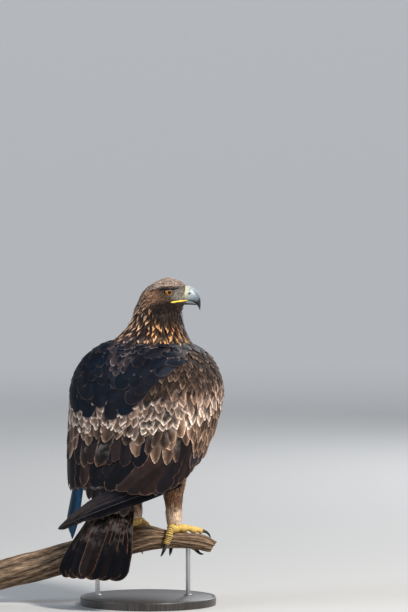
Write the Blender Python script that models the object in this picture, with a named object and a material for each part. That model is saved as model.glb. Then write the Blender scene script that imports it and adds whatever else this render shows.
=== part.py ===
"""Golden eagle standing on a short cut branch, which two rods carry over a round base.

Metres, +Z up. The origin is the centre of the base's underside. The bird faces -Y with its
trunk upright over the origin, so its right side is at -X, and its head is turned to its right.
"""

import math

import bmesh
import bpy
import numpy as np
from mathutils import Matrix, Vector

GAP = 0.0004
UP = Vector((0, 0, 1))

# The head turns this far to the bird's right, and the branch runs the same way.
HEAD_TURN = math.radians(54)
AHEAD = Vector((-math.sin(HEAD_TURN), -math.cos(HEAD_TURN), 0))
RIGHT_OF_HEAD = Vector((-math.cos(HEAD_TURN), math.sin(HEAD_TURN), 0))
HEAD_PIVOT = Vector((0, -0.036, 0))

# Trunk and neck as level ovals: height, centre, half width, reach to the front and to the back.
TRUNK_OVALS = (
    (0.254, 0.092, 0.014, 0.014, 0.014),
    (0.266, 0.082, 0.044, 0.044, 0.040),
    (0.291, 0.066, 0.072, 0.074, 0.062),
    (0.331, 0.045, 0.098, 0.098, 0.082),
    (0.381, 0.022, 0.114, 0.113, 0.097),
    (0.431, 0.008, 0.122, 0.121, 0.107),
    (0.481, 0.000, 0.124, 0.121, 0.116),
    (0.531, -0.004, 0.116, 0.110, 0.114),
    (0.562, -0.008, 0.100, 0.092, 0.100),
    (0.581, -0.015, 0.084, 0.078, 0.084),
    (0.603, -0.026, 0.067, 0.064, 0.069),
    (0.625, -0.034, 0.056, 0.055, 0.058),
    (0.647, -0.037, 0.052, 0.051, 0.052),
    (0.668, -0.037, 0.044, 0.042, 0.042),
    (0.684, -0.036, 0.026, 0.026, 0.026),
)
TRUNK_SQUARENESS = 2.2
LIMB_SQUARENESS = 2.1
NECK_TOP = 0.645
NECK_FOOT = 0.583
SLICE_TILT = math.radians(12)
# The fused body's remeshing: cell size, rounds of smoothing and triangles left.
BODY_FUSING = (0.0040, 6, 1300)
FOOT_FUSING = (0.0024, 2, 330)

# Head as upright ovals: distance ahead of the pivot, crown height, chin height, half width.
HEAD_OVALS = (
    (-0.0430, 0.670, 0.654, 0.008),
    (-0.0370, 0.683, 0.645, 0.021),
    (-0.0260, 0.6965, 0.640, 0.031),
    (-0.0090, 0.7085, 0.639, 0.0365),
    (0.0100, 0.7180, 0.641, 0.0380),
    (0.0270, 0.7205, 0.644, 0.0365),
    (0.0440, 0.7160, 0.648, 0.0310),
    (0.0540, 0.7115, 0.651, 0.0240),
    (0.0620, 0.7055, 0.656, 0.0165),
    (0.0670, 0.6990, 0.662, 0.0100),
)
EYE_AHEAD = 0.0235
EYE_HEIGHT = 0.6888
EYE_OUT = 0.0250
EYE_RADIUS = 0.0112
# Swellings and hollows of the head's sides: push outwards, place ahead, height, length, height
# over which it fades. They are the brow, the eye socket, the lore and the jaw's muscle.
HEAD_SWELLS = (
    (0.0045, 0.0300, 0.7025, 0.0240, 0.0065),
    (-0.0060, 0.0255, 0.6888, 0.0125, 0.0095),
    (-0.0035, 0.0500, 0.6840, 0.0140, 0.0100),
    (0.0020, 0.0060, 0.6680, 0.0200, 0.0140),
)
# A swell fades to nothing this near the midplane.
SWELL_FADE = 0.012

# Bill outline: control points of the culmen and of the cutting edge, ahead of the pivot and up.
CULMEN = ((0.0620, 0.7015), (0.0820, 0.7010), (0.1000, 0.6850), (0.0934, 0.6480))
CUTTING_EDGE = ((0.0500, 0.6655), (0.0720, 0.6720), (0.0880, 0.6640), (0.0925, 0.6485))
BILL_HALF_WIDTH = 0.0125
BILL_TIP_WIDTH = 0.0004
BILL_TAPER = (2.2, 0.8)
CULMEN_NARROWING = 0.22
CERE_SHARE = 0.18
CERE_SWELL = 1.03
CERE_SEAM = 0.012
BILL_SIDES = 12
# Lower mandible: distance ahead, top, bottom, half width.
MANDIBLE_OVALS = (
    (0.0440, 0.6635, 0.6560, 0.0085),
    (0.0560, 0.6652, 0.6545, 0.0095),
    (0.0700, 0.6650, 0.6548, 0.0085),
    (0.0800, 0.6622, 0.6565, 0.0055),
    (0.0850, 0.6598, 0.6583, 0.0015),
)

# Branch: distance along AHEAD from the origin, height of its centre, radius.
BRANCH_SPINE = (
    (-0.338, 0.0605, 0.0335),
    (-0.260, 0.0810, 0.0345),
    (-0.200, 0.0965, 0.0345),
    (-0.115, 0.1170, 0.0360),
    (-0.040, 0.1400, 0.0325),
    (0.004, 0.1440, 0.0275),
    (0.037, 0.1415, 0.0210),
    (0.080, 0.1390, 0.0170),
    (0.114, 0.1360, 0.0180),
    (0.135, 0.1300, 0.0165),
    (0.150, 0.1260, 0.0120),
)
BRANCH_SIDE = 0.0165
BRANCH_SIDES, BRANCH_LEVELS = 14, 17
KNOT_ALONG = -0.100
KNOT_RISE = 0.014
KNOT_LENGTH = 0.022
KNOT_SPREAD = 0.5
# Lengthwise ridges of the branch: their count, share of the radius and twist per metre, and the
# share and pitch of its slow waves.
RIDGES, RIDGE_SHARE, RIDGE_TWIST = 5, 0.035, 9
WAVE_SHARE, WAVE_PITCH = 0.02, 40
SIDE = Vector((-RIGHT_OF_HEAD.x, -RIGHT_OF_HEAD.y, 0))

# Each foot's place along the branch, each toe's length and half thickness, and its heading
# round the branch's top: 0 points along the branch and 90 over its far side.
FOOT_ALONG = {"right": 0.057, "left": -0.030}
TOES = {"hallux": (0.056, 0.0088), "inner": (0.060, 0.0085), "middle": (0.078, 0.0085),
        "outer": (0.064, 0.0080)}
TOE_HEADINGS = {
    "right": {"hallux": 252, "inner": 96, "middle": 52, "outer": 8},
    "left": {"hallux": 246, "inner": 50, "middle": 80, "outer": 118},
}
TOE_LIFT = 0.0035
TOE_FLATNESS = 0.95
FOOT_BALL = (0.0155, 0.0165, 0.0120)
FOOT_BALL_RISE = 0.0085
TALON_CHORDS = {"hallux": 0.040, "inner": 0.035, "middle": 0.031, "outer": 0.026}
# A claw bends through the first angle and leaves its toe tilted up by the second. It starts this
# far inside the toe, at a share of the toe's half thickness, and ends this thin.
TALON_BEND = math.radians(95)
TALON_LIFT = math.radians(22)
TALON_INSET = 0.003
TALON_SHARE = 0.62
TALON_TIP = 0.0004
# Leg: share of the height from the foot's base to the hip, share of the lean, half width and
# half depth.
HIPS = {"right": Vector((-0.058, 0.004, 0.372)), "left": Vector((0.058, 0.022, 0.372))}
LEG_OVALS = (
    (0.03, 0.00, 0.0130, 0.0140),
    (0.08, 0.00, 0.0175, 0.0185),
    (0.20, 0.02, 0.0175, 0.0190),
    (0.32, 0.08, 0.0185, 0.0215),
    (0.43, 0.18, 0.0235, 0.0280),
    (0.56, 0.36, 0.0310, 0.0370),
    (0.74, 0.68, 0.0400, 0.0450),
    (1.00, 1.00, 0.0400, 0.0460),
)
LEG_SIDES, LEG_LEVELS = 12, 9
ANKLE_CUT = 0.052

# Wing envelope as level ovals: height, centre, half width, front reach, back reach.
WING_OVALS = (
    (0.240, 0.050, 0.142, 0.110, 0.106),
    (0.295, 0.038, 0.154, 0.116, 0.116),
    (0.361, 0.022, 0.163, 0.122, 0.124),
    (0.420, 0.010, 0.166, 0.124, 0.127),
    (0.482, 0.002, 0.165, 0.124, 0.127),
    (0.510, 0.000, 0.156, 0.121, 0.124),
    (0.537, -0.003, 0.141, 0.112, 0.117),
    (0.560, -0.007, 0.120, 0.098, 0.105),
    (0.578, -0.012, 0.094, 0.080, 0.088),
)
WING_SQUARENESS = 3.0
# Leading edge: height and angle round from the front. Lower edge: angle and height.
LEADING_EDGE = ((0.240, 95), (0.300, 92), (0.322, 85), (0.361, 78), (0.394, 73), (0.422, 68),
                (0.449, 58), (0.482, 51), (0.510, 50), (0.537, 54), (0.560, 64), (0.578, 84))
LOWER_EDGE = ((50, 0.310), (90, 0.306), (98, 0.294), (104, 0.276), (112, 0.262), (125, 0.252),
              (150, 0.253), (180, 0.260))
UPPER_EDGE = ((50, 0.535), (70, 0.560), (95, 0.575), (130, 0.578), (160, 0.566), (180, 0.552))
WING_END_ANGLE = 180
WING_THICK = 0.046
WING_THIN = 0.0045
# The wing is only feathers up to the first height, and thickens over the second above it.
WING_THIN_BELOW, WING_THICKENING = 0.262, 0.075
FEATHERS_ON_EDGE = 8
WING_ROWS = 7
SCALLOP = 0.006

# Folded primaries: a blade from under the wing's lower edge to the wing tip.
BLADES = {
    "right": ((-0.128, 0.062, 0.300), (-0.060, 0.140, 0.263), (0.030, 0.163, 0.222),
              (0.078, 0.176, 0.192), (0.113, 0.182, 0.172)),
    "left": ((0.138, 0.066, 0.300), (0.129, 0.088, 0.255), (0.125, 0.114, 0.215),
             (0.121, 0.138, 0.180), (0.118, 0.160, 0.150)),
}
BLADE_HALF_WIDTHS = (0.030, 0.028, 0.025, 0.018, 0.005)
BLADE_THICK = 0.0042
BLADE_CAMBER = 0.004
BLADE_AXIS_Y = 0.03

# Tail: root and tip on the midline, half widths along it, arch across, feathers at its end.
TAIL_ROOT = Vector((0, 0.084, 0.330))
TAIL_TIP = Vector((0.016, 0.214, 0.072))
TAIL_HALF_WIDTHS = ((0.0, 0.036), (0.38, 0.049), (0.6, 0.071), (0.78, 0.092), (1.0, 0.091))
TAIL_ARCH = 0.016
TAIL_THICK = (0.0150, 0.0030)
TAIL_FEATHERS = 7
TAIL_ROUNDING = 0.020

BASE_RADIUS = 0.150
BASE_HEIGHT = 0.018
BASE_BEVEL = 0.003
ROD_RADIUS = 0.0050
BASE_SIDES = 40
ROD_SIDES = 16
ROD_ALONG = (-0.112, 0.088)

COLOURS = {
    "plumage_brown": ((0.115, 0.070, 0.042), 0.75),
    "nape_gold": ((0.42, 0.22, 0.09), 0.75),
    "head_tawny": ((0.25, 0.15, 0.09), 0.75),
    "wing_brown": ((0.14, 0.09, 0.06), 0.70),
    "flight_dark": ((0.030, 0.024, 0.024), 0.60),
    "leg_buff": ((0.40, 0.25, 0.14), 0.80),
    "toe_yellow": ((0.75, 0.48, 0.05), 0.50),
    "talon_black": ((0.02, 0.02, 0.022), 0.30),
    "cere_yellow": ((0.78, 0.66, 0.22), 0.45),
    "bill_horn": ((0.20, 0.24, 0.28), 0.30),
    "eye_amber": ((0.55, 0.24, 0.03), 0.08),
    "bark": ((0.26, 0.17, 0.10), 0.90),
    "base_lacquer": ((0.030, 0.028, 0.027), 0.40),
    "rod_steel": ((0.55, 0.55, 0.56), 0.35),
}


def material(name):
    """The named Principled material, made once."""
    found = bpy.data.materials.get(name)
    if found:
        return found
    made = bpy.data.materials.new(name)
    made.use_nodes = True
    shader = made.node_tree.nodes["Principled BSDF"]
    colour, roughness = COLOURS[name]
    shader.inputs["Base Color"].default_value = (*colour, 1)
    shader.inputs["Roughness"].default_value = roughness
    shader.inputs["Metallic"].default_value = 1.0 if name == "rod_steel" else 0.0
    return made


def new_object(name, mesh, finish):
    """A scene object round a mesh, smooth but for its sharp edges."""
    made = bpy.data.objects.new(name, mesh)
    bpy.context.scene.collection.objects.link(made)
    mesh.materials.clear()
    mesh.materials.append(material(finish))
    mesh.shade_smooth()
    mesh.set_sharp_from_angle(angle=math.radians(50))
    return made


def steps(start, end, count):
    """Evenly spaced plain numbers from start to end."""
    return np.linspace(start, end, count).tolist()


def turns(sides):
    """The angles of a ring's corners."""
    return [2 * math.pi * k / sides for k in range(sides)]


def through(stations, at):
    """Columns of a table read at places along its first column, on a smooth curve."""
    table = np.array(stations, float)
    x, columns = table[:, 0], table[:, 1:]
    slopes = np.gradient(columns, x, axis=0)
    at = np.clip(np.atleast_1d(np.asarray(at, float)), x[0], x[-1])
    i = np.clip(np.searchsorted(x, at, side="right") - 1, 0, len(x) - 2)
    h = (x[i + 1] - x[i])[:, None]
    t = ((at - x[i]) / (x[i + 1] - x[i]))[:, None]
    found = (
        (2 * t**3 - 3 * t**2 + 1) * columns[i]
        + (t**3 - 2 * t**2 + t) * h * slopes[i]
        + (3 * t**2 - 2 * t**3) * columns[i + 1]
        + (t**3 - t**2) * h * slopes[i + 1]
    )
    return found.tolist()


def oval(angle, half_width, front, back, squareness):
    """A point of a level oval: 0 is the front (-Y), 90 degrees the side, 180 the back."""
    power = 2 / squareness
    s, c = math.sin(angle), math.cos(angle)
    reach = front if c > 0 else back
    x = half_width * math.copysign(abs(s) ** power, s)
    y = -reach * math.copysign(abs(c) ** power, c)
    return x, y


def loft(rings):
    """A closed mesh through rings of equally many points, with a fan over each end."""
    mesh = bmesh.new()
    rows = [[mesh.verts.new(p) for p in ring] for ring in rings]
    count = len(rows[0])
    for low, high in zip(rows, rows[1:]):
        for i in range(count):
            j = (i + 1) % count
            mesh.faces.new((low[i], low[j], high[j], high[i]))
    for row in (rows[0], rows[-1]):
        middle = mesh.verts.new(sum((v.co for v in row), Vector()) / count)
        for i in range(count):
            mesh.faces.new((row[i], row[(i + 1) % count], middle))
    bmesh.ops.recalc_face_normals(mesh, faces=mesh.faces)
    return to_mesh(mesh)


def to_mesh(source):
    """A Mesh from a bmesh, facing outwards."""
    if source.calc_volume(signed=True) < 0:
        bmesh.ops.reverse_faces(source, faces=source.faces)
    made = bpy.data.meshes.new("shape")
    source.to_mesh(made)
    source.free()
    return made


def grown(mesh, gap=GAP):
    """A copy of a mesh whose points move out along their normals."""
    work = bmesh.new()
    work.from_mesh(mesh)
    work.normal_update()
    for vert in work.verts:
        vert.co += vert.normal * gap
    return to_mesh(work)


def applied(mesh, modifiers):
    """The mesh after a list of (type, settings) modifiers."""
    helper = bpy.data.objects.new("helper", mesh)
    bpy.context.scene.collection.objects.link(helper)
    cutters = []
    for kind, settings in modifiers:
        added = helper.modifiers.new(kind.title(), kind)
        for key, value in settings.items():
            if isinstance(value, bpy.types.Mesh):
                value = bpy.data.objects.new("cutter", value)
                bpy.context.scene.collection.objects.link(value)
                cutters.append(value)
            setattr(added, key, value)
    graph = bpy.context.evaluated_depsgraph_get()
    result = bpy.data.meshes.new_from_object(helper.evaluated_get(graph))
    for used in (helper, *cutters):
        bpy.data.objects.remove(used)
    return result


def largest_body(mesh):
    """The mesh's largest connected body, without crumbs that a cut leaves."""
    work = bmesh.new()
    work.from_mesh(mesh)
    bmesh.ops.triangulate(work, faces=work.faces)
    left, bodies = set(work.verts), []
    while left:
        found, edge = set(), {left.pop()}
        while edge:
            found |= edge
            edge = {e.other_vert(v) for v in edge for e in v.link_edges} - found
        left -= found
        bodies.append(found)
    keep = max(bodies, key=len)
    bmesh.ops.delete(work, geom=[v for v in work.verts if v not in keep], context="VERTS")
    return to_mesh(work)


def carved(mesh, *cutters, gap=GAP):
    """The mesh less each cutter, which is first grown by the gap."""
    for cutter in cutters:
        cut = ("BOOLEAN", {"operation": "DIFFERENCE", "solver": "EXACT", "object": grown(cutter, gap)})
        mesh = largest_body(applied(mesh, [cut]))
    return mesh


def fused(meshes, voxel, smoothing, triangles, shape=None):
    """One body round overlapping meshes: remeshed, shaped by a function, smoothed and thinned."""
    work = bmesh.new()
    for mesh in meshes:
        work.from_mesh(mesh)
    whole = to_mesh(work)
    remesh = ("REMESH", {"mode": "VOXEL", "voxel_size": voxel, "adaptivity": 0.0})
    smooth = ("SMOOTH", {"factor": 0.5, "iterations": smoothing})
    whole = applied(whole, [remesh, smooth])
    if shape:
        for vert in whole.vertices:
            vert.co = shape(vert.co.copy())
    count = sum(len(face.vertices) - 2 for face in whole.polygons)
    ratio = min(1.0, triangles / count)
    return largest_body(applied(whole, [("DECIMATE", {"ratio": ratio})]))


def slab(point, normal, reach):
    """A thin square plate, GAP thick, which parts a body where it passes through it."""
    work = bmesh.new()
    bmesh.ops.create_cube(work, size=1)
    turn = UP.rotation_difference(normal).to_matrix().to_4x4()
    size = Matrix.Diagonal((reach, reach, GAP, 1))
    work.transform(Matrix.Translation(point) @ turn @ size)
    return to_mesh(work)


def parted(mesh, point, normal, reach):
    """The two bodies that a thin cut leaves: the one behind the plane and the one ahead."""
    cut = ("BOOLEAN", {"operation": "DIFFERENCE", "solver": "EXACT",
                       "object": slab(point, normal, reach)})
    halves = applied(mesh, [cut])
    found = []
    for side in (-1, 1):
        work = bmesh.new()
        work.from_mesh(halves)
        near = [v for v in work.verts if side * (v.co - point).dot(normal) < 0]
        bmesh.ops.delete(work, geom=near, context="VERTS")
        found.append(largest_body(to_mesh(work)))
    return found


def tube(points, radii, sides=10, flatten=1.0):
    """A round body along points, whose upright radius is the radius times flatten."""
    rings = []
    for i, point in enumerate(points):
        along = (points[min(i + 1, len(points) - 1)] - points[max(i - 1, 0)]).normalized()
        across = along.cross(UP)
        across = across.normalized() if across.length > 1e-3 else RIGHT_OF_HEAD.copy()
        over = across.cross(along)
        rings.append([point + radii[i] * (math.cos(a) * across + flatten * math.sin(a) * over)
                      for a in turns(sides)])
    return loft(rings)


def bezier(points, t):
    """A point of a cubic curve given by four control points."""
    weights = ((1 - t) ** 3, 3 * t * (1 - t) ** 2, 3 * t**2 * (1 - t), t**3)
    return tuple(sum(w * p[k] for w, p in zip(weights, points)) for k in range(len(points[0])))


def head_point(ahead, out, height):
    """A world point from the head's own directions, out being towards its right."""
    return HEAD_PIVOT + ahead * AHEAD + out * RIGHT_OF_HEAD + height * UP


def level_loft(ovals, squareness, levels, sides):
    """A body of level ovals about the midplane."""
    heights = steps(ovals[0][0], ovals[-1][0], levels)
    rings = []
    for z, (centre, width, front, back) in zip(heights, through(ovals, heights)):
        flat = [oval(a, width, front, back, squareness) for a in turns(sides)]
        rings.append([Vector((x, y + centre, z)) for x, y in flat])
    return loft(rings)


def upright_loft(ovals, levels, sides, squareness=LIMB_SQUARENESS):
    """A body of upright ovals across the head's own direction."""
    aheads = steps(ovals[0][0], ovals[-1][0], levels)
    rings = []
    for ahead, (top, bottom, width) in zip(aheads, through(ovals, aheads)):
        half = (top - bottom) / 2
        flat = [oval(a, width, half, half, squareness) for a in turns(sides)]
        rings.append([head_point(ahead, x, (top + bottom) / 2 + y) for x, y in flat])
    return loft(rings)


def shaped_head(point):
    """Moves a point of the head in or out to give brows, eye sockets and hollow lores."""
    local = point - HEAD_PIVOT
    ahead, out, height = local.dot(AHEAD), local.dot(RIGHT_OF_HEAD), local.z
    if height < NECK_TOP - 0.02:
        return point

    def bump(at, up, long, tall):
        return math.exp(-(((ahead - at) / long) ** 2) - ((height - up) / tall) ** 2)

    side = math.copysign(1, out) * min(1, abs(out) / SWELL_FADE)
    push = sum(rise * bump(*place) for rise, *place in HEAD_SWELLS)
    return point + side * push * RIGHT_OF_HEAD


def branch_at(along):
    """Centre of the branch at a place along it, and its radius there."""
    height, radius = through(BRANCH_SPINE, along)[0]
    return along * AHEAD + BRANCH_SIDE * SIDE + height * UP, radius


def make_branch():
    """The perch: a knotted length of dead branch, cut at one end and broken at the other."""
    rings = []
    for along in steps(BRANCH_SPINE[0][0], BRANCH_SPINE[-1][0], BRANCH_LEVELS):
        centre, radius = branch_at(along)
        ring = []
        for angle in turns(BRANCH_SIDES):
            ridge = RIDGE_SHARE * math.sin(RIDGES * angle + RIDGE_TWIST * along)
            wave = WAVE_SHARE * math.sin(WAVE_PITCH * along + angle)
            knot = KNOT_RISE * math.exp(-(((along - KNOT_ALONG) / KNOT_LENGTH) ** 2)
                                        - ((angle - 1.5 * math.pi) / KNOT_SPREAD) ** 2)
            reach = radius * (1 + ridge + wave) + knot
            ring.append(centre + reach * (math.cos(angle) * SIDE + math.sin(angle) * UP))
        rings.append(ring)
    return loft(rings)


def foot_base(side):
    """Where a foot stands: the top of the branch under it."""
    centre, radius = branch_at(FOOT_ALONG[side])
    return centre + radius * UP


def toe_path(side, toe):
    """A toe's centre line, laid over the round of the branch from the foot's middle."""
    length, thick = TOES[toe]
    heading = math.radians(TOE_HEADINGS[side][toe])
    path = []
    for t in steps(0, 1, 9):
        along = FOOT_ALONG[side] + t * length * math.cos(heading)
        centre, radius = branch_at(along)
        lift = TOE_LIFT * math.sin(math.pi * min(1, 1.4 * t))
        reach = radius + thick + lift
        turn = t * length * math.sin(heading) / reach
        path.append(centre + reach * (math.cos(turn) * UP + math.sin(turn) * SIDE))
    return path


def make_foot(side, branch):
    """One foot: the ball of the foot with four toes, lying on the branch."""
    ball = bmesh.new()
    bmesh.ops.create_icosphere(ball, subdivisions=3, radius=1)
    size = Matrix.Diagonal((*FOOT_BALL, 1))
    ball.transform(Matrix.Translation(foot_base(side) + FOOT_BALL_RISE * UP) @ size)
    bodies = [to_mesh(ball)]
    for toe, (_, thick) in TOES.items():
        path = toe_path(side, toe)
        radii = [thick * (1.08 - 0.22 * t + 0.08 * math.cos(6 * math.pi * t))
                 for t in steps(0, 1, len(path))]
        bodies.append(tube(path, radii, sides=12, flatten=TOE_FLATNESS))
    whole = fused(bodies, *FOOT_FUSING)
    return carved(whole, branch)


def make_talon(side, toe):
    """A curved claw that continues its toe, bending towards the branch."""
    path, thick = toe_path(side, toe), TOES[toe][1]
    start = path[-1]
    along = (path[-1] - path[-2]).normalized()
    centre, _ = branch_at((start - BRANCH_SIDE * SIDE).dot(AHEAD))
    outward = start - centre
    outward = (outward - outward.dot(along) * along).normalized()
    radius = TALON_CHORDS[toe] / (2 * math.sin(TALON_BEND / 2))
    points, radii = [], []
    for t in steps(0, 1, 7):
        angle = TALON_BEND * t - TALON_LIFT
        arc = math.sin(angle) + math.sin(TALON_LIFT)
        drop = math.cos(TALON_LIFT) - math.cos(angle)
        points.append(start - TALON_INSET * along + radius * (arc * along - drop * outward))
        radii.append(TALON_SHARE * thick * (1 - t) ** 0.75 + TALON_TIP)
    return tube(points, radii, sides=6)


def leg_loft(side):
    """Thigh and shank as one tapering body from its foot to the hip."""
    base = foot_base(side)
    way = HIPS[side] - base
    shares = steps(LEG_OVALS[0][0], LEG_OVALS[-1][0], LEG_LEVELS)
    rings = []
    for share, (lean, width, depth) in zip(shares, through(LEG_OVALS, shares)):
        middle = base + Vector((lean * way.x, lean * way.y, share * way.z))
        rings.append([middle + Vector(oval(a, width, depth, depth, LIMB_SQUARENESS)).to_3d()
                      for a in turns(LEG_SIDES)])
    return loft(rings)


def wing_point(side, angle, height, inward):
    """A point of the folded wing's outer surface, or that far inside it."""
    centre, width, front, back = through(WING_OVALS, height)[0]
    x, y = oval(angle, width - inward, front - inward, back - inward, WING_SQUARENESS)
    return Vector((side * (x + GAP), y + centre, height))


def edge_height(edge, angle):
    """Height of the wing's upper or lower edge at an angle round the bird."""
    return float(through([(math.radians(a), z) for a, z in edge], angle)[0][0])


def make_wing(side):
    """A folded wing: a shell round the flank, scalloped along the tips of its feathers."""
    columns, rows = 3 * FEATHERS_ON_EDGE + 1, WING_ROWS
    edge = [(z, math.radians(a)) for z, a in LEADING_EDGE]
    outer, inner = [], []
    for i in range(columns):
        share = i / (columns - 1)
        phase = (share * FEATHERS_ON_EDGE) % 1
        scallop = SCALLOP * (1 - math.sqrt(max(0.0, 1 - (2 * phase - 1) ** 2)))
        out_line, in_line = [], []
        for j in range(rows):
            t = j / (rows - 1)
            angle = math.radians(60 + (WING_END_ANGLE - 60) * share)
            for _ in range(4):  # the leading edge and the heights depend on each other
                low = edge_height(LOWER_EDGE, angle) + scallop
                high = edge_height(UPPER_EDGE, angle)
                height = high + (low - high) * t
                start = float(through(edge, height)[0][0])
                angle = start + (math.radians(WING_END_ANGLE) - start) * share
            thin = min(1.0, max(0.0, (height - WING_THIN_BELOW) / WING_THICKENING))
            rim = min(1.0, 5 * (1 - t) + 0.12, 7 * t + 0.15, 9 * share + 0.15)
            thick = WING_THIN + (WING_THICK - WING_THIN) * thin * rim
            out_line.append(wing_point(side, angle, height, 0.0))
            in_line.append(wing_point(side, angle, height, thick))
        outer.append(out_line)
        inner.append(in_line)
    return shell(outer, inner)


def shell(outer, inner):
    """A closed mesh between two grids of equal size."""
    work = bmesh.new()
    grids = [[[work.verts.new(p) for p in line] for line in grid] for grid in (outer, inner)]
    columns, rows = len(outer), len(outer[0])
    for grid, flip in zip(grids, (False, True)):
        for i in range(columns - 1):
            for j in range(rows - 1):
                quad = (grid[i][j], grid[i + 1][j], grid[i + 1][j + 1], grid[i][j + 1])
                work.faces.new(quad[::-1] if flip else quad)
    rim = [(i, 0) for i in range(columns)] + [(columns - 1, j) for j in range(1, rows)]
    rim += [(i, rows - 1) for i in range(columns - 2, -1, -1)]
    rim += [(0, j) for j in range(rows - 2, 0, -1)]
    for (a, b), (c, d) in zip(rim, rim[1:] + rim[:1]):
        work.faces.new((grids[0][a][b], grids[1][a][b], grids[1][c][d], grids[0][c][d]))
    bmesh.ops.recalc_face_normals(work, faces=work.faces)
    bmesh.ops.triangulate(work, faces=work.faces)
    return to_mesh(work)


def make_blade(side):
    """The folded primaries of one wing as a tapering, slightly cambered blade."""
    path = [Vector(p) for p in BLADES[side]]
    table = [(i / (len(path) - 1), *p, w) for i, (p, w) in enumerate(zip(path, BLADE_HALF_WIDTHS))]
    places = through(table, steps(0, 1, 10))
    outer, inner = [], []
    for k, (x, y, z, width) in enumerate(places):
        here = Vector((x, y, z))
        ahead = Vector(places[min(k + 1, len(places) - 1)][:3])
        behind = Vector(places[max(k - 1, 0)][:3])
        along = (ahead - behind).normalized()
        outward = Vector((here.x, here.y - BLADE_AXIS_Y, 0)).normalized()
        across = along.cross(outward).normalized()
        face = across.cross(along).normalized()
        spread = steps(-1, 1, 5)
        line = [here + s * width * across - BLADE_CAMBER * s * s * face for s in spread]
        outer.append(line)
        inner.append([p - BLADE_THICK * face * (1 - 0.6 * abs(s)) for p, s in zip(line, spread)])
    return shell(outer, inner)


def make_tail():
    """The tail: a slightly spread fan, arched across, with round feather tips."""
    along = TAIL_TIP - TAIL_ROOT
    back = Vector((0, -along.z, along.y)).normalized()
    columns, rows = 3 * TAIL_FEATHERS + 1, 5
    outer, inner = [], []
    for i in range(columns):
        s = 2 * i / (columns - 1) - 1
        phase = (i / (columns - 1) * TAIL_FEATHERS) % 1
        scallop = SCALLOP * (1 - math.sqrt(max(0.0, 1 - (2 * phase - 1) ** 2)))
        reach = 1 - (TAIL_ROUNDING * s * s + scallop) / along.length
        out_line, in_line = [], []
        for j in range(rows):
            t = reach * j / (rows - 1)
            half = through(TAIL_HALF_WIDTHS, t)[0][0]
            thick = TAIL_THICK[0] + (TAIL_THICK[1] - TAIL_THICK[0]) * min(1, 1.6 * t)
            middle = TAIL_ROOT + t * along + s * half * Vector((1, 0, 0))
            face = middle - TAIL_ARCH * s * s * back
            out_line.append(face)
            in_line.append(face - thick * (1 - 0.5 * s * s) * back)
        outer.append(out_line)
        inner.append(in_line)
    return shell(outer, inner)


def bill_loft(start, end, levels, swell=1.0):
    """The upper bill between two shares of its length, from the base to the hook's tip."""
    rings = []
    for t in steps(start, end, levels):
        top, edge = bezier(CULMEN, t), bezier(CUTTING_EDGE, t)
        middle = ((top[0] + edge[0]) / 2, (top[1] + edge[1]) / 2)
        rise = ((top[0] - edge[0]) / 2, (top[1] - edge[1]) / 2)
        width = swell * BILL_HALF_WIDTH * (1 - t ** BILL_TAPER[0]) ** BILL_TAPER[1] + BILL_TIP_WIDTH
        ring = []
        for angle in turns(BILL_SIDES):
            x, up = width * math.sin(angle), swell * math.cos(angle)
            narrow = 1 - CULMEN_NARROWING * max(0.0, up)
            ring.append(head_point(middle[0] + up * rise[0], x * narrow, middle[1] + up * rise[1]))
        rings.append(ring)
    return loft(rings)


def eye_centre(sign):
    """Centre of an eyeball, sign being 1 on the head's right side."""
    return head_point(EYE_AHEAD, sign * EYE_OUT, EYE_HEIGHT)


def make_ball(centre, radius):
    """A round body of triangles."""
    work = bmesh.new()
    bmesh.ops.create_icosphere(work, subdivisions=2, radius=radius)
    work.transform(Matrix.Translation(centre))
    return to_mesh(work)


def make_cylinder(centre, radius, height, sides, bevel=0.0):
    """An upright round body that stands on its centre point, its upper rim rounded."""
    outline = [(radius, 0.0), (radius, height - bevel), (radius - bevel, height)]
    outline = outline if bevel else outline[:2]
    return loft([[centre + Vector((r * math.cos(a), r * math.sin(a), z)) for a in turns(sides)]
                 for r, z in outline])


def make_head_parts(head):
    """Bill, cere, mandible and eyes, with the head's own mesh cut to seat them."""
    cere = bill_loft(0.0, CERE_SHARE, 5, swell=CERE_SWELL)
    bill = bill_loft(CERE_SHARE + CERE_SEAM, 1.0, 11)
    mandible = carved(upright_loft(MANDIBLE_OVALS, 8, 12), bill, cere)
    eyes = {side: make_ball(eye_centre(sign), EYE_RADIUS)
            for side, sign in (("right", 1), ("left", -1))}
    head = carved(head, cere, bill, mandible, eyes["right"], eyes["left"])
    new_object("head", head, "head_tawny")
    new_object("cere", cere, "cere_yellow")
    new_object("bill_upper", bill, "bill_horn")
    new_object("bill_lower", mandible, "bill_horn")
    for side, ball in eyes.items():
        new_object(f"eye_{side}", ball, "eye_amber")


def make_body():
    """Head, neck and trunk from one whole body parted by thin cuts, and the legs against it."""
    parts = [level_loft(TRUNK_OVALS, TRUNK_SQUARENESS, 30, 32), upright_loft(HEAD_OVALS, 18, 24)]
    whole = fused(parts, *BODY_FUSING, shape=shaped_head)
    tilt = Vector((0, -math.sin(SLICE_TILT), math.cos(SLICE_TILT)))
    bodies = {}
    rest, head = parted(whole, Vector((0, -0.036, NECK_TOP)), UP, 0.4)
    bodies["trunk"], bodies["neck"] = parted(rest, Vector((0, -0.024, NECK_FOOT)), tilt, 0.4)
    for side in ("right", "left"):
        ankle = foot_base(side) + ANKLE_CUT * UP
        bodies[f"shank_{side}"], thigh = parted(leg_loft(side), ankle, UP, 0.4)
        bodies[f"thigh_{side}"] = carved(thigh, bodies["trunk"])
    return head, bodies


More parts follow.
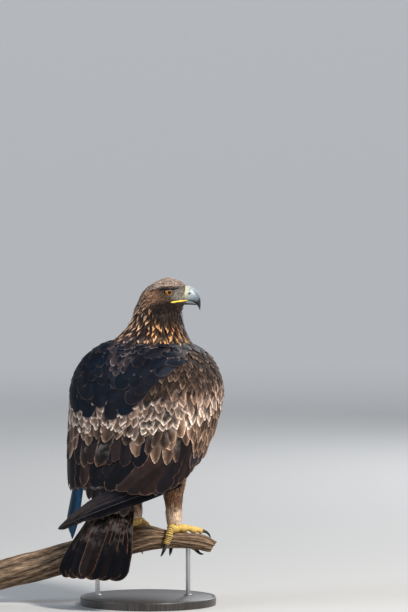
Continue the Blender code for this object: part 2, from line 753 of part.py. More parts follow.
def main():
    """Builds the bird, its perch and its stand."""
    for old in list(bpy.data.objects):
        bpy.data.objects.remove(old)
    branch = make_branch()
    head, bodies = make_body()
    make_head_parts(head)
    finishes = {"neck": "nape_gold", "trunk": "plumage_brown"}
    tail = carved(make_tail(), bodies["trunk"])
    for side in ("right", "left"):
        foot = make_foot(side, branch)
        bodies[f"shank_{side}"] = carved(bodies[f"shank_{side}"], foot)
        finishes |= {f"shank_{side}": "leg_buff", f"thigh_{side}": "plumage_brown"}
        for toe in TOES:
            talon = carved(make_talon(side, toe), branch)
            foot = carved(foot, talon)
            new_object(f"talon_{toe}_{side}", talon, "talon_black")
        new_object(f"foot_{side}", foot, "toe_yellow")
    for name, mesh in bodies.items():
        new_object(name, mesh, finishes[name])
    new_object("tail", tail, "flight_dark")
    blades = []
    for side, sign in (("left", 1), ("right", -1)):
        wing = carved(make_wing(sign), bodies["trunk"], bodies["neck"], tail)
        wing = carved(wing, bodies[f"thigh_{side}"])
        blade = carved(make_blade(side), tail, bodies["trunk"], wing, *blades)
        new_object(f"wing_{side}", wing, "wing_brown")
        new_object(f"primaries_{side}", blade, "flight_dark")
        blades.append(blade)
    new_object("perch_branch", branch, "bark")
    base = make_cylinder(Vector(), BASE_RADIUS, BASE_HEIGHT, BASE_SIDES, BASE_BEVEL)
    new_object("stand_base", base, "base_lacquer")
    for number, along in enumerate(ROD_ALONG, 1):
        start = along * AHEAD + BRANCH_SIDE * SIDE + (BASE_HEIGHT + GAP) * UP
        centre, _ = branch_at(along)
        rod = make_cylinder(start, ROD_RADIUS, centre.z - start.z, ROD_SIDES)
        new_object(f"stand_rod_{number}", carved(rod, branch), "rod_steel")


main()
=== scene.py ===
"""Looks of a golden eagle that stands on a cut branch over a round base.

Metres, +Z up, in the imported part's own frame: the trunk faces -Y and the head is turned to the
bird's right. Feathers are laid in rows along two guide surfaces, one round the body and one over
the folded wings. Every feather is a thin closed vane that carries its own colours and the places
of its points, which the finishes turn into shafts, barbs and fringes.
"""

import logging
import math
from collections.abc import Callable, Sequence
from dataclasses import dataclass, field
from enum import Enum

import bmesh
import bpy
import numpy as np
from mathutils import Matrix, Vector
from mathutils.bvhtree import BVHTree


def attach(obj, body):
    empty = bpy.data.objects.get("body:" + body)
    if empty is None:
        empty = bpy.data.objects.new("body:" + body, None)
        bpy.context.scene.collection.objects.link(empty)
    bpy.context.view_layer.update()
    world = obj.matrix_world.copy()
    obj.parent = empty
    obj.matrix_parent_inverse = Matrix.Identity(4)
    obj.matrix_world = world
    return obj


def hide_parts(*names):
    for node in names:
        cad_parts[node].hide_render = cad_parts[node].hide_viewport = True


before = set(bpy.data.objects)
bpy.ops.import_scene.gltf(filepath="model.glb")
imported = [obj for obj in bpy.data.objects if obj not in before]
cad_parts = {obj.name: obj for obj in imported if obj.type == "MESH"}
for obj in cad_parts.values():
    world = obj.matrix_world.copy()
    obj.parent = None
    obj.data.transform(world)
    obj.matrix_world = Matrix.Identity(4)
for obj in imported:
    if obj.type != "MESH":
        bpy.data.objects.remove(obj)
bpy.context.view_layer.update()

LOG = logging.getLogger("eagle")
Colour = tuple[float, float, float]
UP = Vector((0, 0, 1))

# Sizes shared with the solids: head direction, pivot and eyes.
HEAD_TURN = math.radians(54)
AHEAD = Vector((-math.sin(HEAD_TURN), -math.cos(HEAD_TURN), 0))
RIGHT_OF_HEAD = Vector((-math.cos(HEAD_TURN), math.sin(HEAD_TURN), 0))
FAR_SIDE = -RIGHT_OF_HEAD
HEAD_PIVOT = Vector((0, -0.036, 0))
EYE_AHEAD, EYE_HEIGHT, EYE_OUT, EYE_RADIUS = 0.0235, 0.6888, 0.0250, 0.0112

# Wing envelope as level ovals: height, centre, half width, front reach, back reach. The first
# one carries it on below the wing's lower edge.
WING_OVALS = (
    (0.190, 0.060, 0.132, 0.104, 0.098),
    (0.240, 0.050, 0.142, 0.110, 0.106),
    (0.295, 0.038, 0.154, 0.116, 0.116),
    (0.361, 0.022, 0.163, 0.122, 0.124),
    (0.420, 0.010, 0.166, 0.124, 0.127),
    (0.482, 0.002, 0.165, 0.124, 0.127),
    (0.510, 0.000, 0.156, 0.121, 0.124),
    (0.537, -0.003, 0.141, 0.112, 0.117),
    (0.560, -0.007, 0.120, 0.098, 0.105),
    (0.578, -0.012, 0.094, 0.080, 0.088),
)
WING_SQUARENESS = 3.0
# Leading edge of the folded wing: height and angle round from the front.
LEADING_EDGE = ((0.240, 95), (0.300, 92), (0.322, 85), (0.361, 78), (0.394, 73), (0.422, 68),
                (0.449, 58), (0.482, 51), (0.510, 50), (0.537, 54), (0.560, 64), (0.578, 84))


def steps(start: float, end: float, count: int) -> list[float]:
    """Evenly spaced plain numbers from start to end."""
    return np.linspace(start, end, count).tolist()


def through(stations: Sequence, at: float | Sequence[float]) -> list[list[float]]:
    """Columns of a table read at places along its first column, on a smooth curve.

    Args:
        stations: Rows of numbers whose first ones rise.
        at: Places along the first column.

    Returns:
        The other columns at each place.
    """
    table = np.array(stations, float)
    x, columns = table[:, 0], table[:, 1:]
    slopes = np.gradient(columns, x, axis=0)
    places = np.clip(np.atleast_1d(np.asarray(at, float)), x[0], x[-1])
    i = np.clip(np.searchsorted(x, places, side="right") - 1, 0, len(x) - 2)
    h = (x[i + 1] - x[i])[:, None]
    t = ((places - x[i]) / (x[i + 1] - x[i]))[:, None]
    found = (
        (2 * t**3 - 3 * t**2 + 1) * columns[i]
        + (t**3 - 2 * t**2 + t) * h * slopes[i]
        + (3 * t**2 - 2 * t**3) * columns[i + 1]
        + (t**3 - t**2) * h * slopes[i + 1]
    )
    return found.tolist()


def between(table: Sequence[tuple[float, float]], at: float) -> float:
    """A two-column table read on straight lines."""
    return float(np.interp(at, [row[0] for row in table], [row[1] for row in table]))


def blend(first: Colour, second: Colour, share: float) -> Colour:
    """A colour between two, share being that of the second."""
    return tuple(a + (b - a) * share for a, b in zip(first, second))


def scaled(colour: Colour, by: float) -> Colour:
    """A colour made lighter or darker."""
    return tuple(min(1.0, by * part) for part in colour)


def oval(angle: float, half_width: float, front: float, back: float, squareness: float) -> Vector:
    """A point of a level oval, where 0 is the front (-Y) and 90 degrees the side.

    Args:
        angle: Angle round from the front.
        half_width: Reach to either side.
        front: Reach to the front.
        back: Reach to the back.
        squareness: Two for an ellipse, more for a fuller outline.

    Returns:
        The point, at height zero.
    """
    power = 2 / squareness
    s, c = math.sin(angle), math.cos(angle)
    reach = front if c > 0 else back
    x = half_width * math.copysign(abs(s) ** power, s)
    return Vector((x, -reach * math.copysign(abs(c) ** power, c), 0))


def head_point(ahead: float, out: float, height: float) -> Vector:
    """A world point from the head's own directions, out being towards its right."""
    return HEAD_PIVOT + ahead * AHEAD + out * RIGHT_OF_HEAD + height * UP


def head_place(point: Vector) -> tuple[float, float, float]:
    """How far ahead, out to the right and up a world point lies in the head's own directions."""
    local = point - HEAD_PIVOT
    return local.dot(AHEAD), local.dot(RIGHT_OF_HEAD), local.z


def bezier(points: Sequence[Sequence[float]], t: float) -> tuple[float, ...]:
    """A point of a cubic curve given by four control points."""
    weights = ((1 - t) ** 3, 3 * t * (1 - t) ** 2, 3 * t**2 * (1 - t), t**3)
    return tuple(sum(w * p[k] for w, p in zip(weights, points)) for k in range(len(points[0])))


def clamped(value: float) -> float:
    """A number kept from 0 to 1."""
    return min(1.0, max(0.0, value))


def bump_at(value: float, centre: float, reach: float) -> float:
    """A smooth rise from 0 to 1 and back round a centre."""
    return math.exp(-(((value - centre) / reach) ** 2))


def ring_of(count: int) -> list[float]:
    """Angles of a ring's corners."""
    return [2 * math.pi * k / count for k in range(count)]


def lofted(name: str, rings: Sequence[Sequence[Vector]]) -> bpy.types.Mesh:
    """A closed mesh through rings of equally many points, with a fan over each end.

    Args:
        name: Name of the mesh.
        rings: The rings, from one end to the other.

    Returns:
        The mesh, facing outwards.
    """
    work = bmesh.new()
    rows = [[work.verts.new(p) for p in ring] for ring in rings]
    count = len(rows[0])
    for low, high in zip(rows, rows[1:]):
        for i in range(count):
            j = (i + 1) % count
            work.faces.new((low[i], low[j], high[j], high[i]))
    for row in (rows[0], rows[-1]):
        middle = work.verts.new(sum((v.co for v in row), Vector()) / count)
        for i in range(count):
            work.faces.new((row[i], row[(i + 1) % count], middle))
    return outward(name, work)


def outward(name: str, work: bmesh.types.BMesh) -> bpy.types.Mesh:
    """A smooth mesh from a bmesh, its faces turned outwards.

    Args:
        name: Name of the mesh.
        work: The bmesh, which is freed.

    Returns:
        The mesh.
    """
    bmesh.ops.recalc_face_normals(work, faces=work.faces)
    if work.calc_volume(signed=True) < 0:
        bmesh.ops.reverse_faces(work, faces=work.faces)
    made = bpy.data.meshes.new(name)
    work.to_mesh(made)
    work.free()
    made.shade_smooth()
    return made


def joined(name: str, meshes: Sequence[bpy.types.Mesh]) -> bpy.types.Mesh:
    """One mesh of several, which keeps their attributes.

    Args:
        name: Name of the mesh.
        meshes: The meshes.

    Returns:
        The joined mesh.
    """
    work = bmesh.new()
    for mesh in meshes:
        work.from_mesh(mesh)
    made = bpy.data.meshes.new(name)
    work.to_mesh(made)
    work.free()
    return made


def applied(mesh: bpy.types.Mesh, modifiers: Sequence[tuple[str, dict]]) -> bpy.types.Mesh:
    """The mesh after a list of modifiers.

    Args:
        mesh: The mesh to start from.
        modifiers: Kind and settings of each.

    Returns:
        A new mesh.
    """
    helper = bpy.data.objects.new("helper", mesh)
    bpy.context.scene.collection.objects.link(helper)
    for kind, settings in modifiers:
        added = helper.modifiers.new(kind.title(), kind)
        for key, value in settings.items():
            setattr(added, key, value)
    graph = bpy.context.evaluated_depsgraph_get()
    result = bpy.data.meshes.new_from_object(helper.evaluated_get(graph))
    bpy.data.objects.remove(helper)
    return result


def marked(mesh: bpy.types.Mesh, name: str, values: np.ndarray) -> None:
    """Stores a number, a vector or a colour on each point of a mesh.

    Args:
        mesh: The mesh.
        name: Name that the finishes read.
        values: One row for each point, of one, three or four numbers.
    """
    values = np.asarray(values, np.float32)
    wide = 1 if values.ndim == 1 else values.shape[1]
    kind, key = {1: ("FLOAT", "value"), 3: ("FLOAT_VECTOR", "vector"), 4: ("FLOAT_COLOR", "color")}[wide]
    mesh.attributes.new(name, kind, "POINT").data.foreach_set(key, values.ravel())


def points_of(mesh: bpy.types.Mesh) -> np.ndarray:
    """The places of a mesh's points, one row each.

    Args:
        mesh: The mesh.

    Returns:
        One row for each point.
    """
    flat = np.empty(3 * len(mesh.vertices), np.float32)
    mesh.vertices.foreach_get("co", flat)
    return flat.reshape(-1, 3).astype(float)


def mapped(mesh: bpy.types.Mesh, places: np.ndarray) -> None:
    """Gives a mesh its OFBake map from one place for each point.

    Args:
        mesh: The mesh.
        places: Two numbers from 0 to 1 for each point.
    """
    corners = np.empty(len(mesh.loops), np.int32)
    mesh.loops.foreach_get("vertex_index", corners)
    layer = mesh.uv_layers.new(name="OFBake")
    layer.data.foreach_set("uv", np.clip(places, 0, 1)[corners].astype(np.float32).ravel())


def placed(
    name: str, mesh: bpy.types.Mesh, finish: bpy.types.Material, nodes: Sequence[str] = ()
) -> bpy.types.Object:
    """Puts a piece into the scene, on the one body.

    Args:
        name: Name of the piece.
        mesh: Its mesh, in the frame's own place.
        finish: Its material.
        nodes: The solids that it stands for.

    Returns:
        The piece.
    """
    piece = bpy.data.objects.new(name, mesh)
    bpy.context.scene.collection.objects.link(piece)
    mesh.materials.clear()
    mesh.materials.append(finish)
    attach(piece, "root")
    if nodes:
        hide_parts(*nodes)
    triangles = sum(len(face.vertices) - 2 for face in mesh.polygons)
    LOG.info("%s: %d triangles", name, triangles)
    return piece


class Graph:
    """A Principled material's tree, which is built one node at a time."""

    def __init__(self, name: str, **constants: float | tuple) -> None:
        """Starts a material.

        Args:
            name: Name of the material.
            **constants: Fixed inputs of the shader, with underscores for spaces.
        """
        self.material = bpy.data.materials.new(name)
        self.material.use_nodes = True
        self.tree = self.material.node_tree
        self.shader = self.tree.nodes["Principled BSDF"]
        for key, value in constants.items():
            self.shader.inputs[key.replace("_", " ")].default_value = value

    def add(self, kind: str, **settings: object) -> bpy.types.Node:
        """Adds a node with its settings.

        Args:
            kind: The node's kind.
            settings: Its settings by name.

        Returns:
            The node.
        """
        node = self.tree.nodes.new(f"ShaderNode{kind}")
        for key, value in settings.items():
            setattr(node, key, value)
        return node

    def feed(self, socket: bpy.types.NodeSocket, value: object) -> None:
        """Links a socket to an input or sets its value.

        Args:
            socket: The input.
            value: A socket, a number or a colour.
        """
        if isinstance(value, bpy.types.NodeSocket):
            self.tree.links.new(value, socket)
        elif isinstance(value, tuple) and socket.type == "RGBA":
            socket.default_value = (*value[:3], 1)
        else:
            socket.default_value = value

    def fed(self, kind: str, values: Sequence, **settings: object) -> bpy.types.NodeSocket:
        """Adds a node and feeds its inputs in their order.

        Args:
            kind: The node's kind.
            values: A socket, a number or a colour for each input.
            settings: The node's settings by name.

        Returns:
            The node's first output.
        """
        node = self.add(kind, **settings)
        for socket, value in zip(node.inputs, values):
            self.feed(socket, value)
        return node.outputs[0]

    def math(self, operation: str, *values: object) -> bpy.types.NodeSocket:
        """The result of a sum on numbers or sockets."""
        return self.fed("Math", values, operation=operation)

    def product(self, first: object, second: object) -> bpy.types.NodeSocket:
        """One number times another."""
        return self.math("MULTIPLY", first, second)

    def total(self, first: object, second: object) -> bpy.types.NodeSocket:
        """One number and another together."""
        return self.math("ADD", first, second)

    def less(self, first: object, second: object) -> bpy.types.NodeSocket:
        """One number without another."""
        return self.math("SUBTRACT", first, second)

    def value(self, name: str) -> bpy.types.NodeSocket:
        """A number stored on the mesh."""
        return self.add("Attribute", attribute_name=name).outputs["Fac"]

    def colour(self, name: str) -> bpy.types.NodeSocket:
        """A colour stored on the mesh."""
        return self.add("Attribute", attribute_name=name).outputs["Color"]

    def parts(self, vector: bpy.types.NodeSocket) -> list[bpy.types.NodeSocket]:
        """The three numbers of a vector.

        Args:
            vector: The vector.

        Returns:
            Its numbers.
        """
        node = self.add("SeparateXYZ")
        self.feed(node.inputs[0], vector)
        return list(node.outputs)

    def three(self, name: str) -> list[bpy.types.NodeSocket]:
        """The three numbers of a vector stored on the mesh."""
        return self.parts(self.add("Attribute", attribute_name=name).outputs["Vector"])

    def vector(self, *values: object) -> bpy.types.NodeSocket:
        """A vector of three numbers or sockets."""
        return self.fed("CombineXYZ", values)

    def place(self) -> bpy.types.NodeSocket:
        """The piece's own coordinates, in metres."""
        return self.add("TexCoord").outputs["Object"]

    def noise(self, at: object, scale: float, detail: float = 3.0) -> bpy.types.NodeSocket:
        """Smooth noise from 0 to 1.

        Args:
            at: Vector that it is read at.
            scale: How fine it is.
            detail: Octaves.

        Returns:
            The noise.
        """
        node = self.add("TexNoise")
        self.feed(node.inputs["Vector"], at)
        node.inputs["Scale"].default_value = scale
        node.inputs["Detail"].default_value = detail
        return node.outputs["Fac"]

    def ease(
        self, value: object, low: object, high: object, start: float = 0.0, end: float = 1.0
    ) -> bpy.types.NodeSocket:
        """A smooth change of a number.

        Args:
            value: The number that drives it.
            low: Where the change begins.
            high: Where it ends.
            start: Result up to low.
            end: Result from high on.

        Returns:
            The result.
        """
        return self.fed("MapRange", (value, low, high, start, end), interpolation_type="SMOOTHSTEP")

    def mix(self, share: object, first: object, second: object) -> bpy.types.NodeSocket:
        """A colour between two.

        Args:
            share: Share of the second one.
            first: The first colour.
            second: The second colour.

        Returns:
            The mixed colour.
        """
        node = self.add("Mix", data_type="RGBA")
        for index, given in ((0, share), (6, first), (7, second)):
            self.feed(node.inputs[index], given)
        return node.outputs[2]

    def times(self, colour: object, by: object) -> bpy.types.NodeSocket:
        """A colour made lighter or darker by a number.

        Args:
            colour: The colour.
            by: The number.

        Returns:
            The new colour.
        """
        node = self.add("VectorMath", operation="SCALE")
        self.feed(node.inputs[0], colour)
        self.feed(node.inputs["Scale"], by)
        return node.outputs[0]

    def finish(
        self, colour: object, roughness: object, height: object, depth: float, strength: float = 0.5
    ) -> bpy.types.Material:
        """Links colour, roughness and bump, and hands the material over.

        Args:
            colour: Base colour.
            roughness: Roughness.
            height: Height of the bump.
            depth: Depth of the bump in metres.
            strength: How strongly it shows.

        Returns:
            The material.
        """
        self.feed(self.shader.inputs["Base Color"], colour)
        self.feed(self.shader.inputs["Roughness"], roughness)
        bump = self.add("Bump")
        bump.inputs["Strength"].default_value = strength
        bump.inputs["Distance"].default_value = depth
        self.feed(bump.inputs["Height"], height)
        self.feed(self.shader.inputs["Normal"], bump.outputs[0])
        return self.material


@dataclass(frozen=True)
class PlumageFinish:
    """Finish of feathers, which takes its colours from each vane.

    Attributes:
        name: Name of the material.
        roughness: Mean roughness.
        sheen: Weight of the soft sheen.
        streaks: How much the barbs differ from each other.
        centre: How much darker a vane is along its shaft.
        shaft: Colour of the shaft.
        shaft_width: Half width of the shaft in millimetres.
        shaft_share: How strongly the shaft shows.
        mottling: How much grey mottling the base of the vane has.
        ragged: How far the fringe's inner line wanders, in millimetres.
        soft: Strength of the wide soft part of the fringe.
        fade: Reach of that part, as a multiple of the fringe's width.
        crisp: Strength of the narrow edge.
        wear: How much of the edge is worn off in places.
        specular: Strength of the shine.
        tipped: How strongly the tip takes the fringe's colour.
        web: How much the vane's two sides differ.
        fringed: Shares of the length between which the fringe grows in.
        coarse: How fine the mottling is.
    """

    name: str
    roughness: float = 0.62
    sheen: float = 0.25
    streaks: float = 0.35
    centre: float = 0.35
    shaft: Colour = (0.05, 0.035, 0.03)
    shaft_width: float = 0.35
    shaft_share: float = 0.6
    mottling: float = 0.0
    ragged: float = 1.4
    soft: float = 0.45
    fade: float = 5.0
    crisp: float = 0.85
    wear: float = 0.6
    specular: float = 0.14
    tipped: float = 0.0
    web: float = 0.0
    fringed: tuple[float, float] = (0.25, 0.65)
    coarse: float = 60.0

    def material(self) -> bpy.types.Material:
        """Builds the material.

        Returns:
            The material.
        """
        g = Graph(self.name, Sheen_Weight=self.sheen, Sheen_Roughness=0.5,
                  Specular_IOR_Level=self.specular)
        share, across, chance = g.three("vane")
        length, reach, fringe = g.three("span")
        tone, edge = g.colour("tone"), g.colour("fringe")
        side = g.math("ABSOLUTE", across)
        lateral = g.product(g.less(1.0, side), reach)
        from_shaft = g.product(side, reach)
        from_tip = g.product(g.less(1.0, share), length)
        barb = g.less(g.product(share, length), g.product(from_shaft, 0.9))
        seed = g.product(chance, 90.0)
        streak = g.noise(g.vector(g.product(barb, 0.9), g.product(across, 0.8), seed), 1.0)
        cloud = g.noise(g.place(), 55.0, 2.0)
        fleck = g.noise(g.vector(g.product(barb, 0.35), g.product(across, 1.6), seed), 1.0)

        bright = g.total(g.product(g.less(streak, 0.5), 2 * self.streaks), 1.0)
        bright = g.product(bright, g.ease(cloud, 0.3, 0.7, 0.84, 1.16))
        middle = g.ease(g.math("DIVIDE", from_shaft, g.math("MAXIMUM", reach, 0.01)), 0.0, 0.8,
                        1.0 - self.centre, 1.0)
        if self.web:
            flip = g.math("SIGN", g.less(chance, 0.35))
            bright = g.product(bright, g.ease(g.product(across, flip), -0.3, 0.3,
                                                       1.0 - self.web, 1.0 + self.web))
        colour = g.times(tone, g.product(bright, middle))
        if self.mottling:
            spots = g.ease(g.noise(g.place(), self.coarse, 3.0), 0.44, 0.66)
            base = g.ease(share, 0.45, 0.85, self.mottling, 0.0)
            colour = g.mix(g.product(spots, base), colour, g.times((0.30, 0.27, 0.25), bright))
        if self.tipped:
            colour = g.mix(g.ease(share, 0.56, 0.74, 0.0, self.tipped), colour, g.times(edge, bright))
        wander = g.product(g.less(fleck, 0.5), 2 * self.ragged)
        rim = g.math("SMOOTH_MIN", lateral, g.product(from_tip, 0.7), 2.0)
        rim = g.math("DIVIDE", g.total(rim, wander), g.math("MAXIMUM", fringe, 0.01))
        worn = g.noise(g.vector(g.product(barb, 0.16), g.math("SIGN", across), seed), 1.0, 1.0)
        held = g.product(g.ease(worn, 0.34, 0.52, 1.0 - self.wear, 1.0), g.ease(share, *self.fringed))
        colour = g.mix(g.product(g.ease(rim, 0.5, self.fade, self.soft, 0.0), held), colour,
                       g.times(edge, bright))
        crisp = g.ease(rim, 0.5, 1.4, self.crisp, 0.0)
        colour = g.mix(g.product(crisp, held), colour, g.times(edge, bright))
        shaft = g.ease(from_shaft, self.shaft_width * 0.5, self.shaft_width, self.shaft_share, 0.0)
        colour = g.mix(g.product(shaft, g.ease(from_tip, 1.0, 6.0)), colour, self.shaft)

        rough = g.ease(streak, 0.25, 0.75, self.roughness - 0.07, self.roughness + 0.07)
        ribs = g.math("SINE", g.product(barb, 5.2))
        height = g.total(g.product(ribs, 0.25), streak)
        return g.finish(colour, rough, height, 0.0004, 0.45)


@dataclass(frozen=True)
class VaneShape:
    """Outline and thickness of a feather's vane.

    Attributes:
        root: Share of the full width at the root.
        widest: Share of the length where the full width is reached.
        taper: Share of the length where the tip begins.
        power: How full the tip's shoulders are.
        point: How pointed the tip is: a half is round, one is a sharp lance.
        ragged: How uneven the edges are, as a share of the width.
        split: Chance that a side of the vane has a notch where its barbs part.
        lead: How much wider one side is than the other.
        shaft_rows: Cross sections up to the tip.
        tip_rows: Cross sections of the tip.
        fine: Whether a cross section has eight corners or four.
        thick: Thickness in metres.
    """

    root: float = 0.4
    widest: float = 0.45
    taper: float = 0.6
    power: float = 2.0
    point: float = 0.5
    ragged: float = 0.06
    split: float = 0.35
    lead: float = 0.0
    shaft_rows: int = 3
    tip_rows: int = 5
    fine: bool = True
    thick: float = 0.0005

    def shares(self) -> np.ndarray:
        """Shares of the length where the cross sections stand, close together at the tip.

        Returns:
            The shares.
        """
        lower = np.linspace(0, self.taper, self.shaft_rows, endpoint=False)
        turn = np.linspace(0, math.pi / 2, self.tip_rows)
        return np.concatenate([lower, self.taper + (1 - self.taper) * np.sin(turn)])

    def outline(self, share: np.ndarray) -> np.ndarray:
        """Share of the full half width at shares of the length.

        Args:
            share: Shares of the length.

        Returns:
            Shares of the half width.
        """
        x = np.clip(share / self.widest, 0, 1)
        grown = self.root + (1 - self.root) * (3 * x**2 - 2 * x**3)
        x = np.clip((share - self.taper) / (1 - self.taper), 0, 1)
        return grown * np.maximum((1 - x**self.power) ** self.point, 0.05)


@dataclass
class Tint:
    """Colours of one feather: its vane, its fringe and the fringe's width in millimetres."""

    tone: Colour
    fringe: Colour
    width: float = 1.0


@dataclass
class Feather:
    """One feather, laid along a line on a guide surface.

    Attributes:
        line: Points from root to tip, one for each cross section.
        normals: Outward directions at these points.
        length: Length in metres.
        half_width: Greatest half width in metres.
        tint: Its colours.
        camber: How far the edges drop at full half width.
        roll: Angle that it is turned by about its shaft.
        lift: Height of the tip over the guide.
        depth: How much deeper the root lies.
    """

    line: list[Vector]
    normals: list[Vector]
    length: float
    half_width: float
    tint: Tint
    camber: float = 0.001
    roll: float = 0.0
    lift: float = 0.0
    depth: float = 0.003


class Guide:
    """A smooth closed surface that feathers are laid along."""

    LONGEST_STEP = 0.010

    def __init__(self, mesh: bpy.types.Mesh) -> None:
        """Reads a mesh.

        Args:
            mesh: The surface.
        """
        self.corners = [tuple(face.vertices) for face in mesh.polygons]
        self.points = [v.co.copy() for v in mesh.vertices]
        self.directions = [v.normal.copy() for v in mesh.vertices]
        self.tree = BVHTree.FromPolygons(self.points, self.corners)

    def smooth_normal(self, place: Vector, index: int) -> Vector:
        """The surface's direction at a place on a face, blended from its corners.

        Args:
            place: Point on the face.
            index: The face.

        Returns:
            The outward direction.
        """
        total = Vector()
        for corner in self.corners[index]:
            total += self.directions[corner] / ((self.points[corner] - place).length + 1e-4)
        return total.normalized()

    def nearest(self, point: Vector) -> tuple[Vector, Vector]:
        """The nearest place on the surface and its outward direction."""
        place, _, index, _ = self.tree.find_nearest(point)
        return place, self.smooth_normal(place, index)

    def seen(self, angle: float, height: float) -> tuple[Vector, Vector]:
        """The outermost place at an angle round the bird and a height.

        Args:
            angle: Degrees from the front, positive to the bird's left.
            height: Height.

        Returns:
            The place and its outward direction.
        """
        centre = Vector((0, through(WING_OVALS, height)[0][0], height))
        way = Vector((math.sin(math.radians(angle)), -math.cos(math.radians(angle)), 0))
        place, _, index, _ = self.tree.ray_cast(centre + 0.5 * way, -way)
        return place, self.smooth_normal(place, index)

    def walk(
        self, start: Vector, heading: Vector, distances: Sequence[float], flow: Callable | None = None
    ) -> tuple[list[Vector], list[Vector]]:
        """Goes along the surface and notes places on the way.

        Args:
            start: Where the walk starts.
            heading: Direction at the start.
            distances: How far along the places are, rising.
            flow: Gives the direction at a place, where the walk follows the coat's lie.

        Returns:
            The places and the outward directions there.
        """
        point, normal = self.nearest(start)
        points, normals, gone = [], [], 0.0
        for distance in distances:
            while gone < distance - 1e-7:
                step = min(self.LONGEST_STEP, distance - gone)
                heading = 0.5 * heading + 0.5 * flow(point) if flow else heading
                heading = (heading - heading.dot(normal) * normal).normalized()
                point, normal = self.nearest(point + step * heading)
                gone += step
            points.append(point)
            normals.append(normal)
        return points, normals

    def drop(self, point: Vector, normal: Vector, along: Vector, reach: float) -> float:
        """How far the surface falls away to the sides of a line.

        Args:
            point: Place on the line.
            normal: Outward direction there.
            along: Direction of the line.
            reach: Distance to either side.

        Returns:
            The mean fall.
        """
        across = along.cross(normal).normalized()
        falls = []
        for sign in (-1, 1):
            found = self.tree.find_nearest(point + sign * reach * across)[0]
            falls.append((point - found).dot(normal))
        return sum(falls) / 2

    def scatter(
        self, spacing: Callable[[np.ndarray], np.ndarray], rng: np.random.Generator, tries: float = 7.0
    ) -> list[Vector]:
        """Places spread evenly over part of the surface.

        Args:
            spacing: Gives the distance between neighbours at rows of points, and 0 outside.
            rng: Source of chance.
            tries: Candidates for each place that is kept.

        Returns:
            The places.
        """
        points = np.array([tuple(p) for p in self.points])
        faces = [c for quad in self.corners for c in ((quad[0], quad[1], quad[2]), (quad[0], *quad[2:]))
                 if len(c) == 3]
        a, b, c = (points[[f[k] for f in faces]] for k in range(3))
        gaps = spacing((a + b + c) / 3)
        areas = np.linalg.norm(np.cross(b - a, c - a), axis=1) / 2
        wanted = np.where(gaps > 0, areas / np.maximum(gaps, 1e-4) ** 2, 0)
        count = int(tries * wanted.sum())
        chosen = rng.choice(len(faces), count, p=wanted / wanted.sum())
        u, v = rng.random((2, count, 1))
        over = (u + v) > 1
        u, v = np.where(over, 1 - u, u), np.where(over, 1 - v, v)
        places = a[chosen] + u * (b - a)[chosen] + v * (c - a)[chosen]
        apart = spacing(places)
        cell = float(apart.max())
        grid: dict[tuple, list] = {}
        kept = []
        for place, gap in zip(places.tolist(), apart.tolist()):
            if gap <= 0:
                continue
            key = tuple(int(x // cell) for x in place)
            near = (grid.get((key[0] + i, key[1] + j, key[2] + k), ())
                    for i in (-1, 0, 1) for j in (-1, 0, 1) for k in (-1, 0, 1))
            if any((q[0] - place[0]) ** 2 + (q[1] - place[1]) ** 2 + (q[2] - place[2]) ** 2 < gap * gap
                   for group in near for q in group):
                continue
            grid.setdefault(key, []).append(place)
            kept.append(Vector(place))
        return kept


def gaps_by_height(
    points: np.ndarray, gaps: Sequence[tuple[float, float]], low: float, high: float,
    furthest_back: float = 1.0,
) -> np.ndarray:
    """Distances between neighbouring feathers at rows of points, and 0 outside a band of height.

    Args:
        points: The points, one row each.
        gaps: Heights and the distances there.
        low: Foot of the band.
        high: Top of the band.
        furthest_back: Greatest Y that still bears feathers.

    Returns:
        The distances.
    """
    height = points[:, 2]
    outside = (height > high) | (height < low) | (points[:, 1] > furthest_back)
    return np.where(outside, 0, np.interp(height, *zip(*gaps)))


